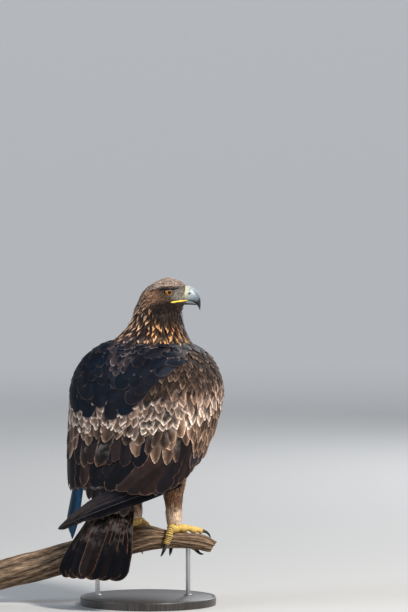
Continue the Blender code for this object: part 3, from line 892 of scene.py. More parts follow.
class Coat:
    """Feathers of one shape and finish that become one joined mesh."""

    PATCH = 0.003

    def __init__(self, name: str, shape: VaneShape, unwrap: Callable[[Vector], tuple[float, float]],
                 seed: int = 1) -> None:
        """Starts an empty coat.

        Args:
            name: Name of the piece.
            shape: Outline of its feathers.
            unwrap: Gives the map's place of a point of the skin.
            seed: Start of its chance.
        """
        self.name, self.shape, self.unwrap = name, shape, unwrap
        self.rng = np.random.default_rng(seed)
        self.feathers: list[Feather] = []

    def mesh(self) -> bpy.types.Mesh:
        """Builds every vane at once.

        Returns:
            The joined mesh with the attributes that the finishes read.
        """
        shape, count = self.shape, len(self.feathers)
        share = shape.shares()
        rows = len(share)
        points = np.array([[tuple(p) for p in f.line] for f in self.feathers])
        normals = np.array([[tuple(n) for n in f.normals] for f in self.feathers])
        length, width, camber, roll, lift, depth = (
            np.array([getattr(f, key) for f in self.feathers])
            for key in ("length", "half_width", "camber", "roll", "lift", "depth"))
        along = np.gradient(points, axis=1)
        along /= np.linalg.norm(along, axis=2, keepdims=True) + 1e-12
        normals -= (normals * along).sum(2, keepdims=True) * along
        normals /= np.linalg.norm(normals, axis=2, keepdims=True) + 1e-12
        across = np.cross(along, normals)
        turn = roll[:, None, None]
        across, normals = (across * np.cos(turn) + normals * np.sin(turn),
                           normals * np.cos(turn) - across * np.sin(turn))

        if shape.fine:
            side = np.array([-1, -0.5, 0, 0.5, 1, 0.5, 0, -0.5])
            face = np.array([0, 0.9, 1.5, 0.9, 0, -0.5, -0.8, -0.5])
        else:
            side, face = np.array([-1.0, 0, 1, 0]), np.array([0, 1.2, 0, -0.8])
        corners = len(side)
        half = width[:, None] * shape.outline(share)[None]
        uneven = 1 + shape.ragged * self.rng.uniform(-1, 1, (count, rows, 2))
        notch_row = self.rng.integers(rows // 3, max(rows // 3 + 1, rows - 2), (count, 1, 2))
        torn = self.rng.random((count, 1, 2)) < shape.split
        parted = (np.arange(rows)[None, :, None] == notch_row) & torn
        uneven = np.where(parted, uneven * self.rng.uniform(0.62, 0.85, (count, 1, 2)), uneven)
        edge = np.where(side[None, None] < 0, uneven[..., :1], uneven[..., 1:])
        lead = 1 + shape.lead * np.sign(side)
        out = side * lead * edge * half[..., None]
        sweep = self.rng.uniform(-1, 1, (count, 1, 1)) * shape.ragged
        high = (lift[:, None] - depth[:, None] * (1 - share) ** 1.2)[..., None]
        high = high - camber[:, None, None] * (out / width[:, None, None]) ** 2
        high = high + face * shape.thick * (1 - 0.5 * share[None, :, None])
        slide = sweep * (side**2) * half[..., None]
        where = (points[:, :, None] + across[:, :, None] * out[..., None]
                 + normals[:, :, None] * high[..., None] + along[:, :, None] * slide[..., None])

        first = (np.arange(count) * rows * corners)[:, None, None]
        ring = np.arange(rows - 1)[None, :, None] * corners
        k = np.arange(corners)[None, None]
        after = (k + 1) % corners
        quads = np.stack([first + ring + k, first + ring + after, first + ring + corners + after,
                          first + ring + corners + k], axis=-1).reshape(-1, 4)
        last = first[:, 0] + (rows - 1) * corners
        ends = [first[:, 0] + np.arange(corners)[::-1], last + np.arange(corners)]
        made = bpy.data.meshes.new(self.name)
        made.from_pydata(where.reshape(-1, 3).tolist(), [], quads.tolist() + np.vstack(ends).tolist())

        full = np.ones((count, rows, corners))
        chance = self.rng.random(count)[:, None, None] * full
        along_share, across_share = share[None, :, None] * full, side * full
        marked(made, "vane", np.stack([along_share, across_share, chance], -1).reshape(-1, 3))
        fringe = np.array([f.tint.width for f in self.feathers])[:, None, None] * full
        marked(made, "span", np.stack([1000 * length[:, None, None] * full, 1000 * half[..., None] * full,
                                       fringe], -1).reshape(-1, 3))
        for name in ("tone", "fringe"):
            colours = np.array([(*getattr(f.tint, name), 1.0) for f in self.feathers])
            marked(made, name, np.repeat(colours, rows * corners, axis=0))
        roots = np.array([self.unwrap(f.line[0]) for f in self.feathers])[:, None, None]
        patch = np.stack([across_share * 0.5, along_share - 0.5], -1) * self.PATCH
        mapped(made, (0.002 + 0.996 * roots + patch).reshape(-1, 2))
        made.shade_smooth()
        made.set_sharp_from_angle(angle=math.radians(70))
        return made


def round_body(point: Vector) -> tuple[float, float]:
    """The map's place of a point of the trunk or the wings: angle round the bird and height."""
    angle = math.atan2(point.x, -(point.y - 0.01)) / (2 * math.pi) + 0.5
    return angle, (point.z - 0.15) / 0.58


def round_head(point: Vector) -> tuple[float, float]:
    """The map's place of a point of the head or the neck: angle round its middle and downwards.

    Args:
        point: The point.

    Returns:
        Its place on the map.
    """
    ahead, out, height = head_place(point)
    ahead -= 0.008
    angle = math.atan2(out, -ahead) / (2 * math.pi) + 0.5
    return angle, 0.5 + math.atan2(height - 0.668, math.hypot(ahead, out)) / math.pi


def round_leg(point: Vector) -> tuple[float, float]:
    """The map's place of a point of a leg: each leg has its own half of the map.

    Args:
        point: The point.

    Returns:
        Its place on the map.
    """
    middle = Vector((-0.045, 0.0, 0)) if point.x < 0 else Vector((0.045, 0.01, 0))
    angle = math.atan2(point.x - middle.x, point.y - middle.y) / (2 * math.pi) + 0.5
    return 0.02 + 0.46 * angle + (0.5 if point.x > 0 else 0.0), (point.z - 0.14) / 0.26


class Lie:
    """The direction in which the coat lies, from the bill back and down."""

    BILL_ROOT = head_point(0.070, 0.0, 0.684)
    NAPE_HEIGHT, COLLAR_HEIGHT = 0.672, 0.640
    VENT_HEIGHT = 0.315

    def __call__(self, point: Vector) -> Vector:
        """The direction at a point.

        Args:
            point: Place on the body.

        Returns:
            The direction, not yet laid into the surface.
        """
        away = (point - self.BILL_ROOT).normalized()
        down = Vector((0, 0.12, -1)).normalized()
        share = clamped((self.NAPE_HEIGHT - point.z) / (self.NAPE_HEIGHT - self.COLLAR_HEIGHT))
        if point.z < self.VENT_HEIGHT and point.y > 0.045 and abs(point.x) < 0.09:
            return Vector((0, 0.75, -0.65)).normalized()
        return (away * (1 - share) + (down + 0.25 * away) * share).normalized()


def joined_solids(names: Sequence[str], extra: Sequence[bpy.types.Mesh] = ()) -> bpy.types.Mesh:
    """The named solids' meshes and some others as one mesh."""
    return joined("solids", [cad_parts[name].data for name in names] + list(extra))


def largest_body(mesh: bpy.types.Mesh) -> bpy.types.Mesh:
    """The mesh's largest connected body, without the bubbles that remeshing leaves inside.

    Args:
        mesh: The mesh.

    Returns:
        The mesh of that body.
    """
    work = bmesh.new()
    work.from_mesh(mesh)
    left, bodies = set(work.verts), []
    while left:
        found, rim = set(), {left.pop()}
        while rim:
            found |= rim
            rim = {e.other_vert(v) for v in rim for e in v.link_edges} - found
        left -= found
        bodies.append(found)
    keep = max(bodies, key=len)
    bmesh.ops.delete(work, geom=[v for v in work.verts if v not in keep], context="VERTS")
    return outward("body", work)


def fused(mesh: bpy.types.Mesh, voxel: float, smoothing: int) -> bpy.types.Mesh:
    """One smooth body round overlapping meshes.

    Args:
        mesh: The overlapping meshes.
        voxel: Size of a cell.
        smoothing: Rounds of smoothing.

    Returns:
        The body's mesh.
    """
    remesh = ("REMESH", {"mode": "VOXEL", "voxel_size": voxel, "adaptivity": 0.0})
    smooth = ("SMOOTH", {"factor": 0.5, "iterations": smoothing})
    return largest_body(applied(mesh, [remesh, smooth]))


class Flesh(Enum):
    """The solids of flesh, by what they belong to."""

    HEAD = ("head", "neck")
    BODY = ("trunk", "thigh_left", "thigh_right", "shank_left", "shank_right")
    WINGS = ("wing_left", "wing_right")


@dataclass(frozen=True)
class SkinFinish:
    """Skin with down: mottled in colour, soft and uneven."""

    def material(self) -> bpy.types.Material:
        """Mixes the finish.

        Returns:
            The material.
        """
        g = Graph("skin_under_feathers", Specular_IOR_Level=0.3, Sheen_Weight=0.2)
        fine, broad = g.noise(g.place(), 900.0, 4.0), g.noise(g.place(), 120.0, 3.0)
        colour = g.times(g.colour("tone"), g.ease(fine, 0.2, 0.8, 0.6, 1.5))
        colour = g.times(colour, g.ease(broad, 0.3, 0.7, 0.8, 1.2))
        return g.finish(colour, g.ease(broad, 0.3, 0.7, 0.6, 0.85), fine, 0.0006)


@dataclass
class Skin:
    """The one skin under the coat, which replaces every solid of flesh.

    Attributes:
        voxel: Cell of the remeshing.
        depths: Height and depth of the coat over the body.
        wing_depth: Depth of the coat over the wings.
        thin_share: Greatest share of a thin part's thickness that the skin moves in by.
        smoothing: Rounds of smoothing.
        near_wing: Distance from a wing's solid within which the skin is the wing's.
        wing_tone: Colour under the wing's coat.
        face: How far ahead and how high the bare-looking face begins.
        face_tone: Its colour.
        tones: Height from which each colour holds, from the crown to the belly.
        shank_tone: Colour below all of these.
    """

    voxel: float = 0.0027
    depths: tuple = ((0.15, 0.0018), (0.21, 0.0022), (0.26, 0.0045), (0.31, 0.0060), (0.58, 0.0062),
                     (0.62, 0.0050), (0.652, 0.0022), (0.664, 0.0016), (0.73, 0.0016))
    wing_depth: float = 0.0085
    thin_share: float = 0.42
    smoothing: int = 4
    near_wing: float = 0.004
    wing_tone: Colour = (0.035, 0.025, 0.022)
    face: tuple[float, float] = (0.036, 0.655)
    face_tone: Colour = (0.17, 0.155, 0.13)
    tones: tuple = ((0.672, (0.035, 0.023, 0.017)), (0.655, (0.012, 0.008, 0.007)),
                    (0.600, (0.020, 0.012, 0.009)), (0.215, (0.045, 0.028, 0.019)))
    shank_tone: Colour = (0.30, 0.19, 0.12)

    def build(self) -> bpy.types.Object:
        """Makes the skin with its markings.

        Returns:
            The piece.
        """
        names = [name for part in Flesh for name in part.value]
        mesh = fused(joined_solids(names), self.voxel, self.smoothing)
        guide = Guide(mesh)
        wings = Guide(joined_solids(Flesh.WINGS.value))
        moved, tones = [], []
        for point, normal in zip(guide.points, guide.directions):
            depth = between(self.depths, point.z)
            from_wing = wings.tree.find_nearest(point)[3]
            if from_wing < self.near_wing:
                depth = self.wing_depth
            thick = guide.tree.ray_cast(point - 0.0006 * normal, -normal, 0.06)[3]
            if thick:
                depth = min(depth, self.thin_share * thick)
            moved.append(point - depth * normal)
            tones.append((*self.marking(point, from_wing < self.near_wing), 1.0))
        mesh.vertices.foreach_set("co", np.array([tuple(p) for p in moved], np.float32).ravel())
        mesh.update()
        marked(mesh, "tone", np.array(tones))
        mapped(mesh, np.array([round_body(p) for p in moved]))
        return placed("skin", mesh, SkinFinish().material(), names)

    def marking(self, point: Vector, on_wing: bool) -> Colour:
        """The skin's colour at a place, which follows the coat's.

        Args:
            point: Place on the skin.
            on_wing: Whether it belongs to a wing.

        Returns:
            The colour.
        """
        if on_wing:
            return self.wing_tone
        ahead, _, height = head_place(point)
        if ahead > self.face[0] and height > self.face[1]:
            return self.face_tone
        return next((tone for foot, tone in self.tones if height > foot), self.shank_tone)


def plumage(coat: Coat, finish: bpy.types.Material, nodes: Sequence[str] = ()) -> bpy.types.Object:
    """Turns a coat into a piece of the scene."""
    return placed(coat.name, coat.mesh(), finish, nodes)


@dataclass
class BodyCoat:
    """Feathers of the head, the neck, the trunk and the legs, spread over the body's guide.

    Attributes:
        guide: The body's surface.
        wings: The wings' own solids, which hide what lies under them.
        features: The bill and the cere, which stay bare.
        lie: Which way the feathers point.
    """

    guide: Guide
    wings: Guide
    features: Guide
    lie: Lie = field(default_factory=Lie)

    HEAD_GAP, FACE_GAP = 0.0031, 0.0019
    NECK_FOOT, HEAD_FOOT = 0.576, 0.652
    BREAST_SHAPE = VaneShape(root=0.45, widest=0.45, taper=0.55, power=1.8, point=0.6, ragged=0.07,
                             shaft_rows=2, tip_rows=5, fine=True, thick=0.00035)

    def covered(self, point: Vector, normal: Vector) -> bool:
        """Whether a wing lies over a place."""
        return self.wings.tree.ray_cast(point + 0.001 * normal, normal, 0.06)[0] is not None

    def stands_off(self, point: Vector) -> bool:
        """Whether a place lies more than a little outside the wings."""
        near, normal = self.wings.nearest(point)
        return (point - near).dot(normal) > 0.003

    def lay(
        self, coat: Coat, root: Vector, length: float, half_width: float, tint: Tint, lift: float,
        depth: float, spread: float = 0.10,
    ) -> None:
        """Lays one feather from its root along the coat's lie.

        Args:
            coat: The coat that it joins.
            root: Its root on the guide.
            length: Its length.
            half_width: Its half width.
            tint: Its colours.
            lift: Height of its tip over the guide.
            depth: How much deeper its root lies.
            spread: How far its direction may stray, in radians.
        """
        rng = coat.rng
        turn = Matrix.Rotation(rng.normal(0, spread), 3, self.guide.nearest(root)[1])
        length *= rng.uniform(0.88, 1.12)
        half_width *= rng.uniform(0.9, 1.1)
        distances = (coat.shape.shares() * length).tolist()
        line, normals = self.guide.walk(root, turn @ self.lie(root), distances,
                                        lambda p: turn @ self.lie(p))
        middle = len(line) // 2
        along = (line[-1] - line[0]).normalized()
        fall = self.guide.drop(line[middle], normals[middle], along, half_width)
        camber = min(max(fall, 0.12 * half_width), 0.8 * half_width)
        coat.feathers.append(Feather(line, normals, length, half_width, tint, camber,
                                     rng.normal(0, 0.10), lift * rng.uniform(0.6, 1.4), depth))

    def head(self) -> Coat:
        """The smallest feathers, from the bill's root to the nape and the throat.

        Returns:
            The coat.
        """
        shape = VaneShape(root=0.5, widest=0.4, taper=0.5, power=1.6, point=0.6, ragged=0.10,
                          shaft_rows=2, tip_rows=4, fine=False, thick=0.00022)
        coat = Coat("coat_head", shape, round_head, 11)

        for root in self.guide.scatter(self.head_gaps, coat.rng):
            if (self.features.tree.find_nearest(root)[3] or 1) < 0.0022:
                continue
            ahead, _, height = head_place(root)
            near = clamped((0.050 - ahead) / 0.055)
            length = 0.0050 + 0.0080 * near
            tint = self.head_tint(coat.rng, ahead, height)
            self.lay(coat, root, length, 0.0011 + 0.0012 * near, tint, 0.0003, 0.0012, 0.18)
        return coat

    def head_gaps(self, points: np.ndarray) -> np.ndarray:
        """Distances between neighbouring head feathers, and 0 on the eyes, the bill and the neck.

        Args:
            points: Places on the guide, one row each.

        Returns:
            The distances.
        """
        local = points - np.array(HEAD_PIVOT)
        ahead, out = local @ np.array(AHEAD), local @ np.array(RIGHT_OF_HEAD)
        height = local[:, 2]
        gap = np.interp(ahead, [-0.01, 0.034], [self.HEAD_GAP, self.FACE_GAP])
        eye = np.hypot(ahead - EYE_AHEAD, 1.25 * (height - EYE_HEIGHT))
        gap = np.where((eye < EYE_RADIUS) & (np.abs(out) > 0.012), 0, gap)
        return np.where((height < self.HEAD_FOOT) | (ahead > 0.066), 0, gap)

    def head_tint(self, rng: np.random.Generator, ahead: float, height: float) -> Tint:
        """Colours of a head feather.

        Args:
            rng: Source of chance.
            ahead: Its place ahead of the head's pivot.
            height: Its height.

        Returns:
            The colours.
        """
        crown = Tint((0.035, 0.021, 0.016), (0.62, 0.47, 0.39), 0.75)
        cheek = Tint((0.13, 0.062, 0.034), (0.44, 0.24, 0.148), 0.8)
        nape = Tint((0.022, 0.011, 0.008), (0.66, 0.43, 0.29), 0.9)
        lore = Tint((0.11, 0.10, 0.085), (0.42, 0.39, 0.345), 0.5)
        dark = Tint((0.003, 0.002, 0.002), (0.008, 0.005, 0.005), 0.5)
        chin = Tint((0.014, 0.008, 0.006), (0.075, 0.042, 0.032), 0.6)

        def near(place: float, high: float, long: float, tall: float) -> float:
            """How close the feather is to a spot of that place and reach."""
            return math.exp(-(((ahead - place) / long) ** 2) - ((height - high) / tall) ** 2)

        weights = [
            (crown, 1.2 * clamped((height - 0.695) / 0.010) + 0.02),
            (cheek, 1.1 * near(-0.004, 0.681, 0.026, 0.014)),
            (nape, 1.1 * near(-0.036, 0.670, 0.022, 0.026)),
            (lore, 2.0 * near(0.048, 0.686, 0.013, 0.011)),
            (dark, 14.0 * near(0.016, 0.653, 0.024, 0.0128)),
            (chin, 3.0 * near(0.048, 0.650, 0.018, 0.012)),
            # The thin dark lines at the brow's height are dark feathers together with painted shadow under
            # the brow ridge.
            (dark, 3.5 * near(0.034, 0.6985, 0.020, 0.0024) + 2.2 * near(0.004, 0.6955, 0.018, 0.0020)),
            (dark, 3.0 * near(0.0235, 0.6888, 0.0135, 0.0098)),
        ]
        total = sum(weight for _, weight in weights)
        mixed = [sum(w * t.tone[k] for t, w in weights) / total for k in range(3)]
        rim = [sum(w * t.fringe[k] for t, w in weights) / total for k in range(3)]
        width = sum(w * t.width for t, w in weights) / total
        vary, pale = rng.uniform(0.6, 1.3), rng.uniform(0.55, 1.25)
        if rng.random() < 0.35 * clamped((-0.006 - ahead) / 0.012):
            pale *= 0.12
        return Tint(scaled(tuple(mixed), vary), scaled(tuple(rim), pale), width)

    def hackles(self) -> Coat:
        """Lance-shaped feathers of the neck, golden at the back and the sides.

        Returns:
            The coat.
        """
        shape = VaneShape(root=0.45, widest=0.35, taper=0.42, power=1.25, point=0.85, ragged=0.05,
                          shaft_rows=3, tip_rows=5, fine=True, thick=0.0003)
        coat = Coat("coat_neck", shape, round_head, 12)

        gaps = ((0.585, 0.0086), (0.665, 0.0052))
        top = self.HEAD_FOOT + 0.012
        rng = coat.rng
        for root in self.guide.scatter(lambda p: gaps_by_height(p, gaps, self.NECK_FOOT, top), rng):
            point, normal = self.guide.nearest(root)
            if self.covered(point, normal):
                continue
            ahead, _, height = head_place(root)
            back = clamped((0.030 + 0.9 * (0.650 - height) - ahead) / 0.035)
            rear = clamped((0.002 - ahead) / 0.030)
            gold = blend((0.95, 0.47, 0.19), (0.74, 0.46, 0.31), rear)
            glow = rng.random()
            light = scaled(gold, 0.60 + 0.50 * glow) if glow > 0.30 else (0.030, 0.013, 0.008)
            front = blend((0.018, 0.010, 0.008), (0.20, 0.095, 0.05), rng.random() ** 2)
            rim = blend(front, light, back)
            tone = blend((0.004, 0.003, 0.003), (0.030, 0.013, 0.008), rng.random() ** 2)
            throat = bump_at(ahead, 0.022, 0.026) * bump_at(height, 0.652, 0.0125)
            rim = blend(rim, (0.006, 0.004, 0.004), min(1.0, 3.8 * throat))
            low = clamped((0.665 - height) / 0.06)
            foot = clamped((0.600 - height) / 0.012)
            self.lay(coat, root, 0.019 + 0.018 * low, 0.0021 + 0.0010 * low, Tint(tone, rim, 0.9),
                     0.0012 + 0.0022 * foot, 0.0040, 0.24)
        return coat

    def trunk(self) -> Coat:
        """Feathers of the breast, the belly and the flanks, where no wing covers them.

        Returns:
            The coat.
        """
        coat = Coat("coat_trunk", self.BREAST_SHAPE, round_body, 13)
        legs = Guide(joined_solids(Flesh.BODY.value[1:]))

        gaps = ((0.25, 0.0105), (0.36, 0.0125), (0.50, 0.0115), (0.60, 0.0075))
        rng = coat.rng
        for root in self.guide.scatter(lambda p: gaps_by_height(p, gaps, 0.252, 0.602), rng):
            point, normal = self.guide.nearest(root)
            if self.covered(point, normal) or legs.tree.find_nearest(point)[3] < 0.003:
                continue
            size = between(((0.25, 1.0), (0.36, 1.15), (0.50, 1.0), (0.60, 0.68)), point.z)
            warm = rng.random()
            tone = blend((0.030, 0.019, 0.015), (0.060, 0.036, 0.024), warm)
            rim = blend((0.085, 0.052, 0.034), (0.20, 0.12, 0.07), rng.random() ** 1.5)
            if point.z < 0.31:
                tone, rim = blend(tone, (0.16, 0.09, 0.05), 0.6), blend(rim, (0.36, 0.23, 0.14), 0.7)
            if point.z > 0.56:
                rim = blend(rim, (0.30, 0.17, 0.09), 0.5)
            self.lay(coat, root, 0.036 * size, 0.0095 * size, Tint(tone, rim, 1.3), 0.0004, 0.0042)
        return coat

    def lining(self) -> Coat:
        """Dark feathers under the folded wings, where they stand off the breast.

        Returns:
            The coat.
        """
        coat = Coat("coat_wing_lining", self.BREAST_SHAPE, round_body, 16)
        gaps = ((0.27, 0.0150), (0.40, 0.0130), (0.56, 0.0100))
        lining = BodyCoat(self.wings, self.wings, self.features)
        rng = coat.rng
        for root in self.wings.scatter(lambda p: gaps_by_height(p, gaps, 0.275, 0.555, 0.09), rng):
            point, normal = self.wings.nearest(root)
            side = math.copysign(1.0, point.x)
            if normal.x * side > -0.05 or abs(normal.z) > 0.6:
                continue
            if self.stands_off(point + Vector((0.016 * side, 0, 0))) or self.stands_off(point - 0.040 * UP):
                continue
            near, inward, _, gap = self.guide.tree.find_nearest(point)
            if gap < 0.003 or (point - near).dot(inward) < 0:
                continue
            size = between(((0.27, 1.25), (0.40, 1.0), (0.56, 0.75)), point.z)
            tone = blend((0.026, 0.019, 0.016), (0.050, 0.034, 0.026), rng.random())
            rim = blend((0.080, 0.053, 0.038), (0.17, 0.11, 0.075), rng.random() ** 1.5)
            lining.lay(coat, root, 0.038 * size, 0.0100 * size, Tint(tone, rim, 1.3), 0.0002, 0.0042)
        return coat

    def legs(self) -> tuple[Coat, Coat]:
        """Feathers of the thighs, and the short ones of the shanks down to the toes.

        Returns:
            The coat of the thighs and that of the shanks.
        """
        shape = VaneShape(root=0.45, widest=0.4, taper=0.5, power=1.6, point=0.65, ragged=0.08,
                          shaft_rows=2, tip_rows=4, fine=True, thick=0.0003)
        small = VaneShape(root=0.5, widest=0.4, taper=0.45, power=1.5, point=0.7, ragged=0.08,
                          shaft_rows=2, tip_rows=4, fine=False, thick=0.00025)
        thighs, shanks = Coat("coat_thighs", shape, round_leg, 14), Coat("coat_shanks", small, round_leg, 15)
        solid = Guide(joined_solids(Flesh.BODY.value[1:]))

        gaps = ((0.17, 0.0036), (0.215, 0.0046), (0.24, 0.0062), (0.34, 0.0090))
        rng = thighs.rng
        for root in self.guide.scatter(lambda p: gaps_by_height(p, gaps, 0.0, 0.375, 0.075), rng):
            point, normal = self.guide.nearest(root)
            if solid.tree.find_nearest(point)[3] > 0.004 or self.covered(point, normal) and point.z > 0.30:
                continue
            size = between(((0.165, 0.40), (0.215, 0.50), (0.24, 0.65), (0.34, 1.0)), point.z)
            pale = clamped((0.228 - point.z + rng.normal(0, 0.006)) / 0.022)
            tone = blend((0.085, 0.036, 0.018), (0.54, 0.37, 0.255), pale)
            rim = blend((0.26, 0.135, 0.072), (0.90, 0.68, 0.50), pale)
            vary = rng.uniform(0.7, 1.25)
            tint = Tint(scaled(tone, vary), scaled(rim, vary), 1.2)
            coat = shanks if point.z < 0.222 else thighs
            self.lay(coat, root, 0.026 * size, 0.0068 * size, tint, 0.0004,
                     between(((0.17, 0.0016), (0.22, 0.0020), (0.27, 0.0038)), point.z), 0.13)
        return thighs, shanks

    def dress(self) -> None:
        """Lays the coat of head, neck, trunk and legs."""
        soft = PlumageFinish("small_vanes", roughness=0.68, sheen=0.04, streaks=0.5, centre=0.5,
                             shaft_share=0.5, shaft_width=0.22, ragged=0.4, fade=2.5, specular=0.08)
        plumage(self.head(), soft.material())
        lance = PlumageFinish("hackle_vanes", roughness=0.55, sheen=0.03, streaks=0.4, centre=0.3, crisp=0.25,
                              shaft=(0.10, 0.06, 0.035), ragged=0.5, soft=0.15, fade=2.5, tipped=0.98,
                              specular=0.08)
        plumage(self.hackles(), lance.material())
        breast = PlumageFinish("breast_vanes", sheen=0.10, streaks=0.45, centre=0.4, ragged=0.9)
        plumage(self.trunk(), breast.material())
        plumage(self.lining(), breast.material())
        leg = PlumageFinish("leg_vanes", roughness=0.7, sheen=0.15, streaks=0.5, centre=0.3,
                            shaft_share=0.3, ragged=0.7, crisp=0.45, soft=0.6)
        thighs, shanks = self.legs()
        plumage(thighs, leg.material())
        plumage(shanks, leg.material())


@dataclass
class WingCoat:
    """Rows of feathers over both folded wings and the back, laid from tip to root.

    Attributes:
        guide: The surface over wings and back.
    """

    guide: Guide

    COLLAR = ((60, 0.570), (110, 0.572), (150, 0.580), (180, 0.590))
    # Tips of the large coverts: angle, height, lean, half width and how tan each is. The outer
    # ones are alike on both wings, and the right wing's inner ones reach past the middle.
    OUTER_COVERTS = (
        (88, 0.346, 0.20, 0.0115, 0.5), (95, 0.352, 0.12, 0.0120, 0.25), (101, 0.364, 0.05, 0.0125, 0.8),
        (108, 0.362, -0.05, 0.0135, 0.6), (115, 0.327, 0.10, 0.0130, 0.25),
        (122, 0.322, 0.10, 0.0135, 0.6), (131, 0.325, 0.0, 0.0145, 0.9),
    )
    INNER_COVERTS = {
        -1: ((138, 0.344, 0.10, 0.0150, 0.2), (147.5, 0.338, 0.0, 0.0220, 1.0),
             (159, 0.362, 0.10, 0.0190, 0.1), (170, 0.374, 0.0, 0.0180, 0.6),
             (184, 0.366, 0.05, 0.0230, 0.8), (192, 0.313, 0.33, 0.0230, 0.15)),
        1: ((139, 0.346, 0.0, 0.0130, 0.7), (143, 0.318, 0.0, 0.0150, 0.1), (152, 0.309, 0.05, 0.0190, 0.1),
            (156, 0.357, 0.20, 0.0170, 0.7), (166, 0.372, 0.0, 0.0180, 0.4)),
    }
    # Tips of the longest inner flight feathers, from the outer ones to the innermost on top.
    OUTER_SECONDARIES = ((96, 0.302, 0.42, 0.0130), (101, 0.288, 0.42, 0.0150), (107, 0.279, 0.42, 0.0170),
                         (114, 0.270, 0.42, 0.0200))
    INNER_SECONDARIES = {
        -1: ((124, 0.261, 0.50, 0.0240), (139, 0.258, 0.90, 0.0240), (152, 0.261, 1.25, 0.0240),
             (165, 0.266, 1.35, 0.0240), (180, 0.264, 0.75, 0.0270)),
        1: ((122, 0.262, 0.20, 0.0200), (132, 0.258, 0.05, 0.0200), (142, 0.262, -0.05, 0.0180),
            (150, 0.268, 0.0, 0.0180)),
    }
    # Loose feathers that hang below the wings over the tail's root.
    HANGING = ((162, 0.231, -0.25), (168, 0.238, -0.2), (155, 0.240, -0.1), (175, 0.240, -0.1))

    def lay(
        self, coat: Coat, sign: int, angle: float, height: float, lean: float, length: float,
        half_width: float, tint: Tint, lift: float, depth: float, stray: float = 0.07,
    ) -> None:
        """Lays one feather from its tip.

        Args:
            coat: The coat that it joins.
            sign: 1 on the left wing and -1 on the right.
            angle: Degrees from the front to the tip, past 180 beyond the middle of the back.
            height: Height of the tip.
            lean: How much it points towards the middle of the back, 0 being straight down.
            length: Its length.
            half_width: Its half width.
            tint: Its colours.
            lift: Height of its tip over the guide.
            depth: How much deeper its root lies.
            stray: How far its direction may stray, in radians.
        """
        rng = coat.rng
        tip, normal = self.guide.seen(sign * angle, height)
        turn = math.radians(angle)
        round_back = Vector((sign * math.cos(turn), math.sin(turn), 0))
        heading = (lean * round_back - UP).normalized()
        heading = Matrix.Rotation(rng.normal(0, stray), 3, normal) @ heading
        length *= rng.uniform(0.94, 1.06)
        half_width *= rng.uniform(0.93, 1.07)
        distances = (length * (1 - coat.shape.shares()))[::-1].tolist()
        line, normals = self.guide.walk(tip, -heading, distances)
        line, normals = line[::-1], normals[::-1]
        middle = 2 * len(line) // 3
        along = (line[-1] - line[0]).normalized()
        fall = self.guide.drop(line[middle], normals[middle], along, half_width)
        camber = min(max(fall, 0.07 * half_width), 0.6 * half_width) + 0.05 * half_width
        roll = sign * 0.045 + rng.normal(0, 0.03)
        coat.feathers.append(Feather(line, normals, length, half_width, tint, camber, roll,
                                     lift + rng.normal(0, 0.00025), depth))

    def row(
        self, coat: Coat, sign: int, border: Sequence[tuple[float, float]], rise: float, pitch: float,
        offset: float, feather: Callable[[int, float, float], tuple], jitter: float = 0.15,
    ) -> None:
        """Lays one row of feathers whose tips follow a border.

        Args:
            coat: The coat that they join.
            sign: The wing.
            border: Angle and height of the tips.
            rise: How far over the border the row lies.
            pitch: Distance between neighbours.
            offset: Share of a pitch that the row starts at.
            feather: Gives lean, length, half width, colours, lift and depth for a wing, an angle
                and a height.
            jitter: Share of a pitch that places stray by.
        """
        angle = border[0][0]
        turn_each = math.degrees(pitch / 0.148)
        angle += offset * turn_each
        while angle <= border[-1][0] + 0.5:
            at = angle + coat.rng.normal(0, jitter * 0.5) * turn_each
            height = between(border, at) + rise + coat.rng.normal(0, jitter * 0.35) * pitch
            if at >= between(LEADING_EDGE, height) + 1 and height < between(self.COLLAR, at):
                self.lay(coat, sign, at, height, *feather(sign, at, height))
            angle += turn_each

    @staticmethod
    def varied(rng: np.random.Generator, tone: Colour, fringe: Colour, width: float) -> Tint:
        """Colours of a feather with its own small difference.

        Args:
            rng: The coat's chance.
            tone: Colour of its vane.
            fringe: Colour of its fringe.
            width: Width of the fringe in millimetres.

        Returns:
            The colours.
        """
        vary = rng.uniform(0.78, 1.25)
        return Tint(scaled(tone, vary), scaled(fringe, rng.uniform(0.8, 1.2)),
                    width * rng.uniform(0.8, 1.25))

    def lesser(self) -> Coat:
        """Small dark-centred scales of the shoulder.

        Returns:
            The coat.
        """
        shape = VaneShape(root=0.5, widest=0.45, taper=0.45, power=1.7, point=0.72, ragged=0.16,
                          shaft_rows=2, tip_rows=5, thick=0.00035)
        coat = Coat("coat_lesser_coverts", shape, round_body, 21)
        border = ((48, 0.462), (60, 0.462), (80, 0.464), (100, 0.466), (125, 0.468), (150, 0.455))
        rng = coat.rng

        def feather(sign: int, angle: float, height: float) -> tuple:
            """A small dark feather of the shoulder.

            Args:
                sign: The wing's side, which is not used.
                angle: Angle round from the front, in degrees.
                height: Height of its tip.

            Returns:
                Lean, length, half width, colours, lift, depth and stray.
            """
            rise = clamped((height - 0.46) / 0.09)
            pale = clamped(0.18 * (1 - rise) + rng.normal(0, 0.24))
            tone = blend((0.003, 0.002, 0.002), (0.026, 0.014, 0.010), rng.random() ** 1.8)
            tone = blend(tone, (0.060, 0.036, 0.026), 0.5 * pale)
            rim = blend((0.046, 0.026, 0.018), (0.40, 0.26, 0.185), pale)
            lean = between(((50, 0.5), (80, 0.28), (120, 0.2)), angle) + rng.normal(0, 0.12)
            tint = self.varied(rng, tone, rim, 1.5)
            return lean, 0.036 - 0.009 * rise, 0.0084 - 0.0014 * rise, tint, 0.0014, 0.0036, 0.17

